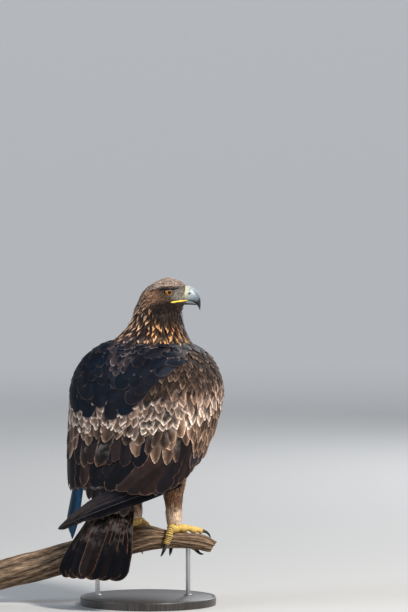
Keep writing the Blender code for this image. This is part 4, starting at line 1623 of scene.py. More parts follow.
        for sign in (-1, 1):
            for number in range(11):
                rise = 0.0100 * number
                end = between(((0.0, 146), (0.03, 134), (0.06, 120), (0.10, 102)), rise)
                edge = [row for row in border if row[0] < end] + [(end, between(border, end))]
                self.row(coat, sign, edge, rise, 0.0132 - 0.0002 * number, 0.5 * (number % 2), feather, 0.5)
        return coat

    def median(self) -> Coat:
        """The pale band across the wing, with ragged pointed tips.

        Returns:
            The coat.
        """
        shape = VaneShape(root=0.45, widest=0.5, taper=0.50, power=1.7, point=0.75, ragged=0.20,
                          shaft_rows=3, tip_rows=5, thick=0.0004)
        coat = Coat("coat_median_coverts", shape, round_body, 22)
        border = ((56, 0.426), (66, 0.422), (80, 0.414), (95, 0.408), (112, 0.404), (125, 0.400),
                  (137, 0.386), (150, 0.378), (162, 0.386), (186, 0.398))
        rng = coat.rng

        def feather(sign: int, angle: float, height: float) -> tuple:
            """A pale feather of the band.

            Args:
                sign: The wing's side, which is not used.
                angle: Angle round from the front, in degrees.
                height: Height of its tip.

            Returns:
                Lean, length, half width, colours, lift, depth and stray.
            """
            over = clamped((height - between(border, angle)) / 0.055)
            inner = clamped((angle - 118) / 22)
            dark = 0.24 + 0.50 * over + 0.10 * inner + rng.normal(0, 0.38)
            tone = blend((0.21, 0.130, 0.092), (0.010, 0.006, 0.006), clamped(dark))
            dull = min(1.0, (0.9 - 0.4 * inner) * over + 0.3 * rng.random())
            rim = blend((1.0, 0.80, 0.66), (0.34, 0.21, 0.15), dull)
            tint = self.varied(rng, tone, rim, 3.0 - 0.8 * inner)
            lean = 0.12 + rng.normal(0, 0.18)
            return lean, 0.054, 0.0122 + 0.0040 * inner, tint, 0.0012, 0.0042, 0.20

        for sign in (-1, 1):
            for number in range(5):
                self.row(coat, sign, border, 0.0145 * number, 0.0175, 0.5 * (number % 2), feather, 0.5)
        return coat

    def greater(self) -> Coat:
        """Tan and dark coverts with pale fringes over the bases of the secondaries.

        Returns:
            The coat.
        """
        shape = VaneShape(root=0.45, widest=0.5, taper=0.62, power=2.1, point=0.62, ragged=0.04,
                          split=0.7, shaft_rows=7, tip_rows=8, thick=0.0005)
        coat = Coat("coat_greater_coverts", shape, round_body, 23)
        border = ((84, 0.366), (95, 0.368), (104, 0.378), (112, 0.366), (120, 0.352), (132, 0.354),
                  (140, 0.360), (147, 0.368), (156, 0.376), (176, 0.384), (184, 0.384))
        rng = coat.rng

        def tint(tan: float) -> Tint:
            """Colours of a covert.

            Args:
                tan: How tan it is, from 0 to 1.

            Returns:
                The colours.
            """
            tone = blend((0.009, 0.006, 0.007), (0.165, 0.097, 0.066), tan**1.4)
            rim = blend((0.17, 0.095, 0.060), (0.64, 0.45, 0.33), tan)
            return self.varied(rng, tone, rim, 1.1)

        def feather(sign: int, angle: float, height: float) -> tuple:
            """A large covert of the rows above the longest ones.

            Args:
                sign: The wing's side, which is not used.
                angle: Angle round from the front, in degrees.
                height: Height of its tip, which is not used.

            Returns:
                Lean, length, half width, colours, lift, depth and stray.
            """
            lean = between(((84, 0.20), (100, 0.05), (150, 0.02), (165, 0.10), (180, 0.0)), angle)
            wide = between(((84, 0.0120), (100, 0.0140), (120, 0.0150), (140, 0.0185), (180, 0.0185)), angle)
            tan = min(1.0, 0.25 + rng.random())
            return lean + rng.normal(0, 0.10), 0.085, wide, tint(tan), 0.0008, 0.0044, 0.10

        for sign in (-1, 1):
            for angle, height, lean, half_width, tan in self.OUTER_COVERTS + self.INNER_COVERTS[sign]:
                inner = max(0.0, (angle - 130) / 60)
                self.lay(coat, sign, angle, height, lean, 0.110, half_width, tint(tan),
                         0.0002 + 0.0018 * inner, 0.0044, 0.02)
            for number, rise in enumerate((0.0, 0.020)):
                self.row(coat, sign, border, rise, 0.0285, 0.15 + 0.5 * number, feather, 0.6)
        return coat

    def edge_coverts(self) -> Coat:
        """Long narrow coverts along the wing's front edge, the lowest tinted dark blue by a painted sky
        reflection.

        Returns:
            The coat.
        """
        shape = VaneShape(root=0.5, widest=0.4, taper=0.66, power=1.9, point=0.6, ragged=0.06,
                          shaft_rows=4, tip_rows=5, thick=0.0005, lead=0.15)
        coat = Coat("coat_edge_coverts", shape, round_body, 24)
        border = ((70, 0.390), (77, 0.360), (84, 0.334), (90, 0.316), (100, 0.310))
        rng = coat.rng

        def feather(sign: int, angle: float, height: float) -> tuple:
            """A covert along the wing's leading edge.

            Args:
                sign: The wing's side, which is not used.
                angle: Angle round from the front, in degrees, which is not used.
                height: Height of its tip.

            Returns:
                Lean, length, half width, colours, lift, depth and stray.
            """
            dark = clamped((0.338 - height) / 0.02)
            tone = blend((0.030, 0.018, 0.015), (0.12, 0.070, 0.048), rng.random())
            # Painted sky reflection: the lowest coverts turn dark blue.
            tone = blend(tone, (0.011, 0.013, 0.022), dark)
            rim = blend((0.34, 0.22, 0.15), (0.13, 0.080, 0.060), dark)
            tint = self.varied(rng, tone, rim, 1.5)
            return 0.42 + rng.normal(0, 0.04), 0.084, 0.0100, tint, 0.0008, 0.0036, 0.04

        for sign in (-1, 1):
            for number in range(5):
                self.row(coat, sign, border, 0.0175 * number, 0.0125, 0.5 * (number % 2), feather, 0.25)
        return coat

    def secondaries(self) -> Coat:
        """Large dark inner flight feathers, down to the wing's lower edge.

        Returns:
            The coat.
        """
        shape = VaneShape(root=0.6, widest=0.4, taper=0.72, power=2.1, point=0.6, ragged=0.02,
                          split=0.6, shaft_rows=9, tip_rows=9, thick=0.0006)
        coat = Coat("coat_secondaries", shape, round_body, 25)
        rng = coat.rng
        lowest = ((96, 0.306), (101, 0.292), (107, 0.282), (114, 0.272), (125, 0.264), (150, 0.262),
                  (166, 0.268), (182, 0.270))

        def tint(fringed: float = 1.0) -> Tint:
            """Colours of a flight feather.

            Args:
                fringed: How clearly the fringe shows.

            Returns:
                The colours.
            """
            vane = blend((0.005, 0.005, 0.008), (0.026, 0.015, 0.013), rng.random() ** 1.5)
            rim = blend((0.13, 0.070, 0.045), (0.30, 0.175, 0.115), rng.random())
            return self.varied(rng, vane, blend(vane, rim, fringed), 0.9)

        def under(sign: int, angle: float, height: float) -> tuple:
            """A feather of the hidden rows, which close the gaps between the long ones."""
            return 0.3 if angle < 120 else 0.1, 0.130, 0.0220, tint(0.2), -0.0026, 0.0042, 0.03

        def upper(sign: int, angle: float, height: float) -> tuple:
            """A short inner feather over the long ones."""
            lean = (-0.15 if angle > 160 else 0.10) + rng.normal(0, 0.05)
            return lean, 0.125, 0.0210, tint(), 0.0000, 0.0042, 0.04

        for sign in (-1, 1):
            self.row(coat, sign, lowest, 0.0, 0.0290, 0.2, under, 0.1)
            self.row(coat, sign, lowest, 0.020, 0.0290, 0.7, under, 0.1)
            places = self.OUTER_SECONDARIES + self.INNER_SECONDARIES[sign]
            for number, (angle, height, lean, half_width) in enumerate(places):
                self.lay(coat, sign, angle, height, lean, 0.160, half_width, tint(),
                         -0.0016 + 0.0003 * number, 0.0042, 0.02)
            self.row(coat, sign, ((140, 0.322), (150, 0.316), (170, 0.318), (194, 0.326)), 0.0, 0.0430,
                     0.3 if sign < 0 else 0.1, upper, 0.2)
        for angle, height, lean in self.HANGING:
            self.lay(coat, 1, angle, height, lean, 0.135, 0.0150, tint(), -0.0030, 0.0042, 0.02)
        return coat

    def mantle(self) -> Coat:
        """Dark feathers of the upper back, from the neck down between the shoulders, blue in part from a
        painted sky reflection.

        Returns:
            The coat.
        """
        shape = VaneShape(root=0.5, widest=0.5, taper=0.58, power=2.0, point=0.6, ragged=0.09,
                          shaft_rows=3, tip_rows=5, thick=0.0004)
        coat = Coat("coat_mantle", shape, round_body, 26)
        border = ((70, 0.566), (100, 0.562), (120, 0.545), (140, 0.520), (160, 0.496), (182, 0.482))
        rng = coat.rng

        def feather(sign: int, angle: float, height: float) -> tuple:
            """A dark glossy feather of the back, blue in part from a painted sky reflection.

            Args:
                sign: The wing's side, which is not used.
                angle: Angle round from the front, in degrees, which is not used.
                height: Height of its tip.

            Returns:
                Lean, length, half width, colours, lift, depth and stray.
            """
            over = clamped((height - 0.50) / 0.10)
            brown = rng.random() ** 1.8
            # The bluish end of the vane's colour and the bluish fringes are a painted sky reflection.
            tone = blend((0.006, 0.009, 0.016), (0.052, 0.035, 0.035), brown)
            rim = blend((0.045, 0.048, 0.066), (0.38, 0.30, 0.29), rng.random() ** 2.2)
            tint = self.varied(rng, tone, rim, 1.0)
            return (0.12 + rng.normal(0, 0.10), 0.052 - 0.022 * over, 0.0140 - 0.0060 * over,
                    tint, 0.0018, 0.0040, 0.14)

        for sign in (-1, 1):
            for number in range(8):
                self.row(coat, sign, border, 0.0135 * number, 0.0200 - 0.0008 * number,
                         0.5 * (number % 2), feather, 0.45)
        return coat

    def scapulars(self) -> Coat:
        """The two dark lobes of large feathers that lie over the wings' roots, tinted blue by a painted sky
        reflection.

        Returns:
            The coat.
        """
        shape = VaneShape(root=0.5, widest=0.5, taper=0.62, power=2.3, point=0.58, ragged=0.04,
                          split=0.6, shaft_rows=6, tip_rows=8, thick=0.0006)
        coat = Coat("coat_scapulars", shape, round_body, 27)
        lobes = (
            (1, ((0.0, 101, 0.562), (0.25, 114, 0.535), (0.5, 127, 0.503), (0.75, 142, 0.465),
                 (1.0, 157, 0.420))),
            (-1, ((0.0, 114, 0.576), (0.25, 136, 0.547), (0.5, 154, 0.508), (0.75, 170, 0.464),
                  (1.0, 183, 0.416))),
            (1, ((0.0, 140, 0.560), (0.5, 154, 0.510), (1.0, 167, 0.440))),
        )
        rows = ((0.06, 3), (0.20, 3), (0.34, 3), (0.47, 3), (0.60, 3), (0.73, 2), (0.87, 2), (1.0, 1))
        rng = coat.rng
        for sign, axis in lobes:
            for number, (along, count) in enumerate(rows):
                angle, height = through(axis, along)[0]
                ahead, lower = through(axis, min(1.0, along + 0.06))[0]
                back, upper = through(axis, max(0.0, along - 0.06))[0]
                run, fall = math.radians(ahead - back) * 0.145, upper - lower
                size = 0.42 + 0.58 * along
                half_band = 0.023 + 0.001 * along
                for across in steps(-1, 1, count) if count > 1 else [0.0]:
                    if height > between(self.COLLAR, angle) - 0.010:
                        continue
                    shift = half_band * (across + 0.15 * (number % 2) - 0.07) / math.hypot(run, fall)
                    at, up = angle + math.degrees(shift * fall / 0.145), height + shift * run
                    brown = rng.random() ** 2.2
                    # The blue in the vane's and the fringe's colours is a painted sky reflection on dark
                    # brown feathers.
                    tone = blend((0.0030, 0.0068, 0.0145), (0.0085, 0.0078, 0.0120), brown)
                    rim = blend((0.014, 0.016, 0.024), (0.13, 0.084, 0.066), rng.random() ** 1.8)
                    lean = 0.85 * run / max(0.005, fall)
                    self.lay(coat, sign, at, up, lean, 0.122 * size, 0.0290 * size,
                             self.varied(rng, tone, rim, 0.9), 0.0034 - 0.0006 * along, 0.0045, 0.07)
        return coat

    def dress(self) -> None:
        """Lays every row of the wings and the back."""
        brown = PlumageFinish("covert_vanes", sheen=0.05, streaks=0.5, specular=0.08, web=0.2,
                              fringed=(0.4, 0.8)).material()
        pale = PlumageFinish("band_vanes", sheen=0.10, centre=0.35, ragged=2.6, streaks=0.6, soft=0.45,
                             fade=4.0, mottling=0.3, web=0.3, fringed=(0.5, 0.85)).material()
        dark = PlumageFinish("dark_vanes", roughness=0.46, sheen=0.0, streaks=0.35, centre=0.25,
                             specular=0.09, shaft=(0.008, 0.007, 0.008), ragged=0.6, soft=0.16,
                             fade=5.0, web=0.15).material()
        plumage(self.secondaries(), dark)
        greater = PlumageFinish("greater_vanes", sheen=0.03, centre=0.35, ragged=0.9, soft=0.25, fade=7.0,
                                mottling=0.6, specular=0.10, web=0.45)
        plumage(self.greater(), greater.material())
        plumage(self.edge_coverts(), brown)
        plumage(self.median(), pale)
        plumage(self.lesser(), brown)
        plumage(self.mantle(), dark)
        plumage(self.scapulars(), dark)


def fan_strips(mesh: bpy.types.Mesh, count: int) -> None:
    """Lays the map of a few long vanes out as one upright strip for each.

    Args:
        mesh: The joined vanes, each with equally many points.
        count: How many there are.
    """
    mesh.uv_layers.remove(mesh.uv_layers["OFBake"])
    flat = np.empty(3 * len(mesh.vertices), np.float32)
    mesh.attributes["vane"].data.foreach_get("vector", flat)
    share, across, _ = flat.reshape(-1, 3).T
    number = np.repeat(np.arange(count), len(mesh.vertices) // count)
    mapped(mesh, np.stack([(number + 0.5 + 0.42 * across) / count, 0.02 + 0.96 * share], -1))


def keep_painted_sheen_off_front(mesh: bpy.types.Mesh, tone: Colour) -> None:
    """Gives a plain dark colour to the forward side of the vanes, which keeps their painted sky reflection on
    the back.

    Args:
        mesh: The joined vanes.
        tone: The colour.
    """
    count = len(mesh.vertices)
    normals, colours = np.empty(3 * count, np.float32), np.empty(4 * count, np.float32)
    mesh.vertices.foreach_get("normal", normals)
    mesh.attributes["tone"].data.foreach_get("color", colours)
    colours.reshape(-1, 4)[normals.reshape(-1, 3)[:, 1] < 0, :3] = tone
    mesh.attributes["tone"].data.foreach_set("color", colours)


@dataclass
class FlightFan:
    """Tail feathers and folded primaries, which aren't laid on a guide but on the solids' lines.

    Attributes:
        tail_root: Where the tail starts on the midline.
        tail_tip: Where its middle ends.
        half_widths: Share of the tail's length and its half width there.
        arch: How far its edges bend forward.
        rounding: How much shorter its outer feathers are.
        blades: Points of the folded primaries' line of each wing.
        blade_widths: Half widths of the bundle along that line.
        tail_feathers: How many feathers the tail has.
        spread: Place across of the outermost ones, from -1 to 1.
        covert_ends: Where each layer of coverts ends, as a share of the tail's length.
        covert_length: Length of a covert, as a share of the tail's length.
        blade_feathers: How many feathers each wing's bundle has.
        blade_tones_with_painted_sheen: Lightest colour of each wing's bundle; the left wing's blue is a
            painted sky reflection on dark feathers.
    """

    tail_root: Vector = field(default_factory=lambda: Vector((0, 0.084, 0.330)))
    tail_tip: Vector = field(default_factory=lambda: Vector((0.016, 0.214, 0.072)))
    half_widths: tuple = ((0.0, 0.036), (0.38, 0.049), (0.6, 0.071), (0.78, 0.092), (1.0, 0.091))
    arch: float = 0.016
    rounding: float = 0.020
    blades: tuple = (
        (-1, ((-0.128, 0.062, 0.300), (-0.060, 0.140, 0.263), (0.030, 0.163, 0.222),
              (0.078, 0.176, 0.192), (0.113, 0.182, 0.172))),
        (1, ((0.138, 0.066, 0.300), (0.129, 0.088, 0.255), (0.120, 0.110, 0.215),
             (0.113, 0.128, 0.180), (0.106, 0.146, 0.150))),
    )
    blade_widths: tuple = (0.030, 0.028, 0.025, 0.018, 0.005)
    tail_feathers: int = 12
    spread: float = 0.78
    covert_ends: tuple = (0.50, 0.42, 0.34, 0.26)
    covert_length: float = 0.34
    blade_feathers: int = 9
    # The left wing's blue is a painted sky reflection on its dark primaries; the right wing's is near black.
    blade_tones_with_painted_sheen: tuple = ((-1, (0.003, 0.005, 0.010)), (1, (0.018, 0.095, 0.190)))

    def tail_point(self, share: float, across: float, sunk: float) -> tuple[Vector, Vector]:
        """A place of the tail's upper face, or under it.

        Args:
            share: Share of the tail's length.
            across: From -1 at its right edge to 1 at its left.
            sunk: Depth under the face.

        Returns:
            The place and the direction away from the face.
        """
        along = self.tail_tip - self.tail_root
        back = Vector((0, -along.z, along.y)).normalized()
        half = through(self.half_widths, share)[0][0]
        place = self.tail_root + share * along + Vector((across * half, 0, 0))
        place -= (self.arch * across * across + sunk) * back
        normal = (back + Vector((2 * self.arch * across / half, 0, 0)) * 0.8).normalized()
        return place, normal

    def strip(self, coat: Coat, way: Callable[[float], tuple[Vector, Vector]], half_width: float,
              tint: Tint, roll: float = 0.0) -> None:
        """Adds one feather along a line.

        Args:
            coat: The coat that it joins.
            way: Gives the place and direction at a share of the feather's length.
            half_width: Its half width.
            tint: Its colours.
            roll: Angle about its shaft.
        """
        places = [way(float(share)) for share in coat.shape.shares()]
        line = [place for place, _ in places]
        length = sum((b - a).length for a, b in zip(line, line[1:]))
        coat.feathers.append(Feather(line, [n for _, n in places], length, half_width, tint,
                                     0.10 * half_width, roll, 0.0, 0.0))

    def tail(self) -> Coat:
        """Twelve tail feathers, the middle pair on top.

        Returns:
            The coat.
        """
        shape = VaneShape(root=0.45, widest=0.5, taper=0.88, power=2.6, point=0.5, ragged=0.02,
                          shaft_rows=9, tip_rows=8, thick=0.0005)
        coat = Coat("feathers_tail", shape, lambda p: (0.5, 0.5), 31)
        length = (self.tail_tip - self.tail_root).length
        middle = (self.tail_feathers - 1) / 2
        for number in range(self.tail_feathers):
            order = abs(number - middle) - 0.5
            across = (number - middle) / middle * self.spread + 0.03
            reach = 1 - (0.6 * self.rounding * across**2 + 0.004 * (number % 2)) / length
            brown = (0.9, 0.15, 0.5, 0.1, 0.3, 0.1)[int(order)]
            tone = blend((0.002, 0.003, 0.005), (0.013, 0.008, 0.007), brown)
            tint = Tint(tone, (0.17, 0.090, 0.056), 1.2)

            def way(share: float) -> tuple[Vector, Vector]:
                """Place and normal of the feather's shaft at a share of its length."""
                return self.tail_point(share * reach, across * (0.62 + 0.38 * share), 0.0010 + 0.0013 * order)

            self.strip(coat, way, 0.0270 + 0.0015 * (number % 2), tint, -0.05 * np.sign(across))
        return coat

    def tail_coverts(self) -> Coat:
        """Mottled coverts over the tail's root and paler ones under it.

        Returns:
            The coat.
        """
        shape = VaneShape(root=0.5, widest=0.5, taper=0.66, power=2.1, point=0.55, ragged=0.07,
                          shaft_rows=4, tip_rows=6, thick=0.0005)
        coat = Coat("coat_tail_coverts", shape, lambda p: (0.5 + 3 * p.x, (p.z - 0.05) / 0.5), 32)
        rng = coat.rng
        for under in (False, True):
            for layer, end in enumerate(self.covert_ends):
                for across in steps(-self.spread, self.spread, 6 if layer % 2 else 5):
                    stray = rng.normal(0, 0.05)
                    stop = end * (1 - 0.10 * abs(across)) + rng.normal(0, 0.012)
                    start = stop - self.covert_length
                    sunk = -0.0012 - 0.0008 * layer

                    def way(share: float) -> tuple[Vector, Vector]:
                        """Place and normal of the feather's shaft.

                        Args:
                            share: Share of its length.

                        Returns:
                            The place and the normal.
                        """
                        at = start + (stop - start) * share
                        thick = 0.012 * max(0.0, 1 - 1.6 * max(0.0, at))
                        deep = 0.0045 + thick + 0.0012 * layer if under else sunk + 0.0016 * (1 - share)
                        place, normal = self.tail_point(at, across + stray * share, deep)
                        return place, -normal if under else normal

                    if under:
                        tint = Tint(scaled((0.13, 0.075, 0.045), rng.uniform(0.7, 1.3)),
                                    (0.34, 0.21, 0.13), 1.6)
                    else:
                        pale = rng.random() ** 1.5
                        tint = Tint(blend((0.045, 0.035, 0.034), (0.22, 0.20, 0.19), pale),
                                    blend((0.14, 0.09, 0.07), (0.36, 0.31, 0.28), pale), 1.5)
                    self.strip(coat, way, 0.0165, tint, rng.normal(0, 0.04))
        return coat

    def primaries(self, sign: int) -> Coat:
        """The folded bundle of one wing's longest feathers.

        Args:
            sign: 1 on the left wing and -1 on the right.

        Returns:
            The coat.
        """
        shape = VaneShape(root=0.7, widest=0.3, taper=0.72, power=1.8, point=0.6, ragged=0.02,
                          lead=0.25 * sign, shaft_rows=7, tip_rows=8, thick=0.00035)
        name = "feathers_primaries_left" if sign > 0 else "feathers_primaries_right"
        coat = Coat(name, shape, lambda p: (0.5, 0.5), 33 + sign)
        points = dict(self.blades)[sign]
        table = [(i / 4, *p, w) for i, (p, w) in enumerate(zip(points, self.blade_widths))]
        for number in range(self.blade_feathers):
            outer = number / (self.blade_feathers - 1)
            end = (0.60 if sign < 0 else 0.78) + (0.40 if sign < 0 else 0.22) * outer**0.85
            offset = 0.62 * (2 * outer - 1)
            layer = 0.0030 - 0.0072 * outer

            def way(share: float) -> tuple[Vector, Vector]:
                """Place and normal of the feather's shaft.

                Args:
                    share: Share of its length.

                Returns:
                    The place and the normal.
                """
                at = share * end
                x, y, z, width = through(table, at)[0]
                after = Vector(through(table, min(1.0, at + 0.03))[0][:3])
                before = Vector(through(table, max(0.0, at - 0.03))[0][:3])
                along = (after - before).normalized()
                out = Vector((x if sign < 0 else 0.35 * x, y - 0.03 * (sign < 0), 0)).normalized()
                across = along.cross(out).normalized()
                normal = across.cross(along).normalized()
                slip = offset * max(width, 0.012) * (1 - 0.35 * share)
                return Vector((x, y, z)) - sign * slip * across + layer * normal, normal

            # Each feather's tone reaches part way to its wing's painted sky reflection.
            tone = blend((0.006, 0.005, 0.006), dict(self.blade_tones_with_painted_sheen)[sign], coat.rng.uniform(0.3, 1.0))
            tint = Tint(tone, (0.085, 0.055, 0.042), 0.8)
            self.strip(coat, way, 0.0135 - 0.0015 * outer, tint, -0.03 * sign)
        return coat

    def dress(self) -> None:
        """Makes the tail and the folded primaries."""
        tail = PlumageFinish("tail_vanes", roughness=0.48, sheen=0.0, streaks=0.4, centre=0.15, ragged=0.5,
                             shaft=(0.04, 0.030, 0.025), shaft_width=0.7, mottling=0.28, soft=0.10, wear=0.5,
                             specular=0.04, web=0.3)
        blade = PlumageFinish("blade_vanes", roughness=0.42, sheen=0.0, streaks=0.3, centre=0.1, ragged=0.15,
                              shaft=(0.13, 0.12, 0.11), shaft_width=0.6, soft=0.12, wear=0.3,
                              specular=0.05, web=0.3)
        made = self.tail()
        piece = plumage(made, tail.material(), ["tail"])
        fan_strips(piece.data, len(made.feathers))
        finish = blade.material()
        for sign, node in ((-1, "primaries_right"), (1, "primaries_left")):
            made = self.primaries(sign)
            piece = plumage(made, finish, [node])
            # The primaries' painted sky reflection is taken off the side of the vanes that looks forward.
            keep_painted_sheen_off_front(piece.data, (0.012, 0.012, 0.015))
            fan_strips(piece.data, len(made.feathers))
        coverts = PlumageFinish("tail_covert_vanes", sheen=0.0, streaks=0.4, centre=0.2, mottling=0.4,
                                ragged=1.2, specular=0.08, coarse=40.0)
        plumage(self.tail_coverts(), coverts.material())


@dataclass(frozen=True)
class CereFinish:
    """Waxy yellow skin that greys towards the horn, pale cream at the top partly from a painted highlight."""

    def material(self) -> bpy.types.Material:
        """Mixes the finish.

        Returns:
            The material.
        """
        g = Graph("cere_skin", Subsurface_Weight=0.12, Specular_IOR_Level=0.5)
        grain, soft = g.noise(g.place(), 900.0, 4.0), g.noise(g.place(), 260.0, 2.0)
        along = g.total(g.value("along"), g.product(soft, 0.25))
        _, _, height = g.parts(g.place())
        # The cere turns pale cream towards its top, partly its own yellow and partly a painted highlight, and
        # greyer below.
        cere_with_painted_highlight = g.mix(g.ease(g.total(height, g.product(soft, 0.004)), 0.674, 0.692),
                      (0.36, 0.39, 0.33), (0.66, 0.62, 0.40))
        colour = g.mix(g.ease(along, 0.10, 0.42), cere_with_painted_highlight, (0.34, 0.40, 0.41))
        colour = g.mix(g.ease(along, 0.02, 0.16, 0.7, 0.0), colour, (0.24, 0.22, 0.18))
        colour = g.mix(g.ease(grain, 0.45, 0.75, 0.0, 0.35), colour, (0.40, 0.38, 0.24))
        # Painted shade: the nostril's opening is coloured almost black for the depth that the dent lacks.
        colour = g.mix(g.ease(g.value("nostril"), 0.25, 0.6), colour, (0.006, 0.006, 0.006))
        return g.finish(colour, g.ease(grain, 0.3, 0.7, 0.30, 0.45), grain, 0.0003)


@dataclass(frozen=True)
class BillHornFinish:
    """Blue-grey horn, black at the tip, with faint growth lines; darker below, the mandible's lower half
    nearly black as painted shadow.
    """

    def material(self) -> bpy.types.Material:
        """Mixes the finish.

        Returns:
            The material.
        """
        g = Graph("bill_horn", Coat_Weight=0.10, Coat_Roughness=0.3, Specular_IOR_Level=0.4)
        soft, fine = g.noise(g.place(), 220.0, 3.0), g.noise(g.place(), 1500.0, 3.0)
        along = g.total(g.value("along"), g.product(g.less(soft, 0.5), 0.25))
        # The lower parts darken, the mandible's lower half almost to black as painted shadow.
        along = g.total(along, g.product(g.value("low"), 0.35))
        lines = g.math("SINE", g.product(g.total(along, g.product(soft, 0.1)), 90.0))
        colour = g.mix(g.ease(along, 0.22, 0.75), (0.34, 0.40, 0.41), (0.13, 0.17, 0.21))
        colour = g.mix(g.ease(along, 0.72, 1.0), colour, (0.010, 0.010, 0.013))
        colour = g.mix(g.ease(g.value("low"), 0.25, 0.9, 0.0, 0.88), colour, (0.016, 0.018, 0.023))
        colour = g.times(colour, g.ease(lines, -1.0, 1.0, 0.93, 1.05))
        # Painted shade: the nostril's opening is coloured almost black for the depth that the dent lacks.
        colour = g.mix(g.ease(g.value("nostril"), 0.25, 0.6), colour, (0.006, 0.006, 0.006))
        height = g.total(g.product(lines, 0.4), fine)
        return g.finish(colour, g.ease(soft, 0.3, 0.7, 0.34, 0.46), height, 0.0001, 0.4)


@dataclass(frozen=True)
class GapeFinish:
    """Bright yellow skin at the mouth's corners."""

    def material(self) -> bpy.types.Material:
        """Mixes the finish.

        Returns:
            The material.
        """
        g = Graph("gape_yellow", Specular_IOR_Level=0.5, Subsurface_Weight=0.1)
        grain = g.noise(g.place(), 700.0, 3.0)
        colour = g.mix(grain, (0.74, 0.50, 0.03), (0.90, 0.68, 0.08))
        return g.finish(colour, g.ease(grain, 0.3, 0.7, 0.32, 0.5), grain, 0.0003)


@dataclass
class Bill:
    """Cere, upper bill, lower mandible and gape, lofted finer than the solids.

    Attributes:
        culmen: Control points of the ridge: ahead of the pivot and up.
        cutting_edge: Control points of the lower edge.
        half_width: Greatest half width.
        cere_share: Share of the length that the cere takes.
        mandible: Ahead, top, bottom and half width of the lower mandible.
        nostril: Place of the nostril ahead and up, its half length and half height.
        slant: How steeply the nostril rises ahead.
        dent: Depth of the nostril.
        gape: Place ahead, height and half thickness of the mouth's yellow rim.
    """

    culmen: tuple = ((0.0620, 0.7015), (0.0820, 0.7010), (0.1000, 0.6850), (0.0934, 0.6480))
    cutting_edge: tuple = ((0.0500, 0.6655), (0.0720, 0.6720), (0.0880, 0.6640), (0.0925, 0.6485))
    half_width: float = 0.0125
    cere_share: float = 0.18
    mandible: tuple = (
        (0.0440, 0.6650, 0.6602, 0.0080),
        (0.0560, 0.6664, 0.6598, 0.0086),
        (0.0700, 0.6660, 0.6598, 0.0078),
        (0.0800, 0.6630, 0.6594, 0.0050),
        (0.0850, 0.6606, 0.6590, 0.0015),
    )
    nostril: tuple = (0.0700, 0.6850, 0.0032, 0.0019)
    slant: float = 0.35
    dent: float = 0.0016
    gape: tuple = ((0.0290, 0.6668, 0.0008), (0.0330, 0.6672, 0.0016), (0.0400, 0.6680, 0.0019),
                   (0.0480, 0.6690, 0.0019), (0.0560, 0.6696, 0.0017), (0.0620, 0.6700, 0.0012),
                   (0.0660, 0.6704, 0.0006))

    def from_nostril(self, ahead: float | np.ndarray, height: float | np.ndarray) -> tuple:
        """How far places are from the nostril's middle, along it and across, in its own half sizes.

        Args:
            ahead: Place or places ahead of the head's pivot.
            height: Their heights.

        Returns:
            The two distances.
        """
        on = ahead - self.nostril[0]
        over = height - self.nostril[1] - self.slant * on
        return on / self.nostril[2], over / self.nostril[3]

    def shell(self, name: str, start: float, end: float, levels: int, swell: float) -> bpy.types.Mesh:
        """Part of the upper bill.

        Args:
            name: Name of the mesh.
            start: Share of the length where it starts.
            end: Share of the length where it ends.
            levels: Number of rings.
            swell: How much wider than the bill it is.

        Returns:
            The mesh, with the nostril pressed in.
        """
        rings = []
        for t in steps(start, end, levels):
            top, edge = bezier(self.culmen, t), bezier(self.cutting_edge, t)
            middle = ((top[0] + edge[0]) / 2, (top[1] + edge[1]) / 2)
            rise = ((top[0] - edge[0]) / 2, (top[1] - edge[1]) / 2)
            width = swell * self.half_width * (1 - t**2.2) ** 0.8 + 0.0004
            ring = []
            for angle in ring_of(56):
                x, up = math.sin(angle), swell * math.cos(angle)
                narrow = 1 - 0.22 * max(0.0, up) + 0.05 * bump_at(up, -0.75, 0.2)
                ahead, height = middle[0] + up * rise[0], middle[1] + up * rise[1]
                place = math.hypot(*self.from_nostril(ahead, height))
                dent = self.dent * math.exp(-(place**2.6)) * min(1.0, abs(x) / 0.5)
                out = width * x * narrow
                ring.append(head_point(ahead, out - math.copysign(dent, x), height))
            rings.append(ring)
        made = lofted(name, rings)
        places = points_of(made)
        local = places - np.array(HEAD_PIVOT)
        ahead, height = local @ np.array(AHEAD), local[:, 2]
        hole = np.hypot(*self.from_nostril(ahead, height))
        # Marks the nostril, which the finishes colour almost black as painted shade inside the opening.
        marked(made, "nostril", np.exp(-(hole**2.6)))
        marked(made, "along", (ahead - 0.060) / 0.038)
        # Marks the upper bill's lower part, which the finish darkens towards the cutting edge.
        marked(made, "low", np.clip((0.677 - height) / 0.018, 0, 1))
        return made

    def build(self) -> None:
        """Makes the horn and the soft parts of the bill."""
        placed("cere_fine", self.shell("cere", 0.0, self.cere_share, 22, 1.03), CereFinish().material(),
               ["cere"])
        upper = self.shell("bill_upper", self.cere_share + 0.006, 1.0, 46, 1.0)
        placed("bill_upper_fine", upper, BillHornFinish().material(), ["bill_upper"])
        rings = []
        stations = steps(self.mandible[0][0], self.mandible[-1][0], 28)
        for ahead, (top, bottom, width) in zip(stations, through(self.mandible, stations)):
            half = (top - bottom) / 2
            ring = [oval(a, width * 0.93, half, half, 2.1) for a in ring_of(40)]
            rings.append([head_point(ahead, p.x, (top + bottom) / 2 + p.y) for p in ring])
        lower = lofted("bill_lower", rings)
        local = points_of(lower) - np.array(HEAD_PIVOT)
        marked(lower, "nostril", np.zeros(len(local)))
        marked(lower, "along", 0.45 + (local @ np.array(AHEAD) - 0.052) / 0.060)
        # Marks the mandible's lower half, which the finish darkens almost to black as painted shadow.
        marked(lower, "low", 3.0 * np.clip((0.6648 - local[:, 2]) / 0.0026, 0, 1))
        placed("bill_lower_fine", lower, BillHornFinish().material(), ["bill_lower"])

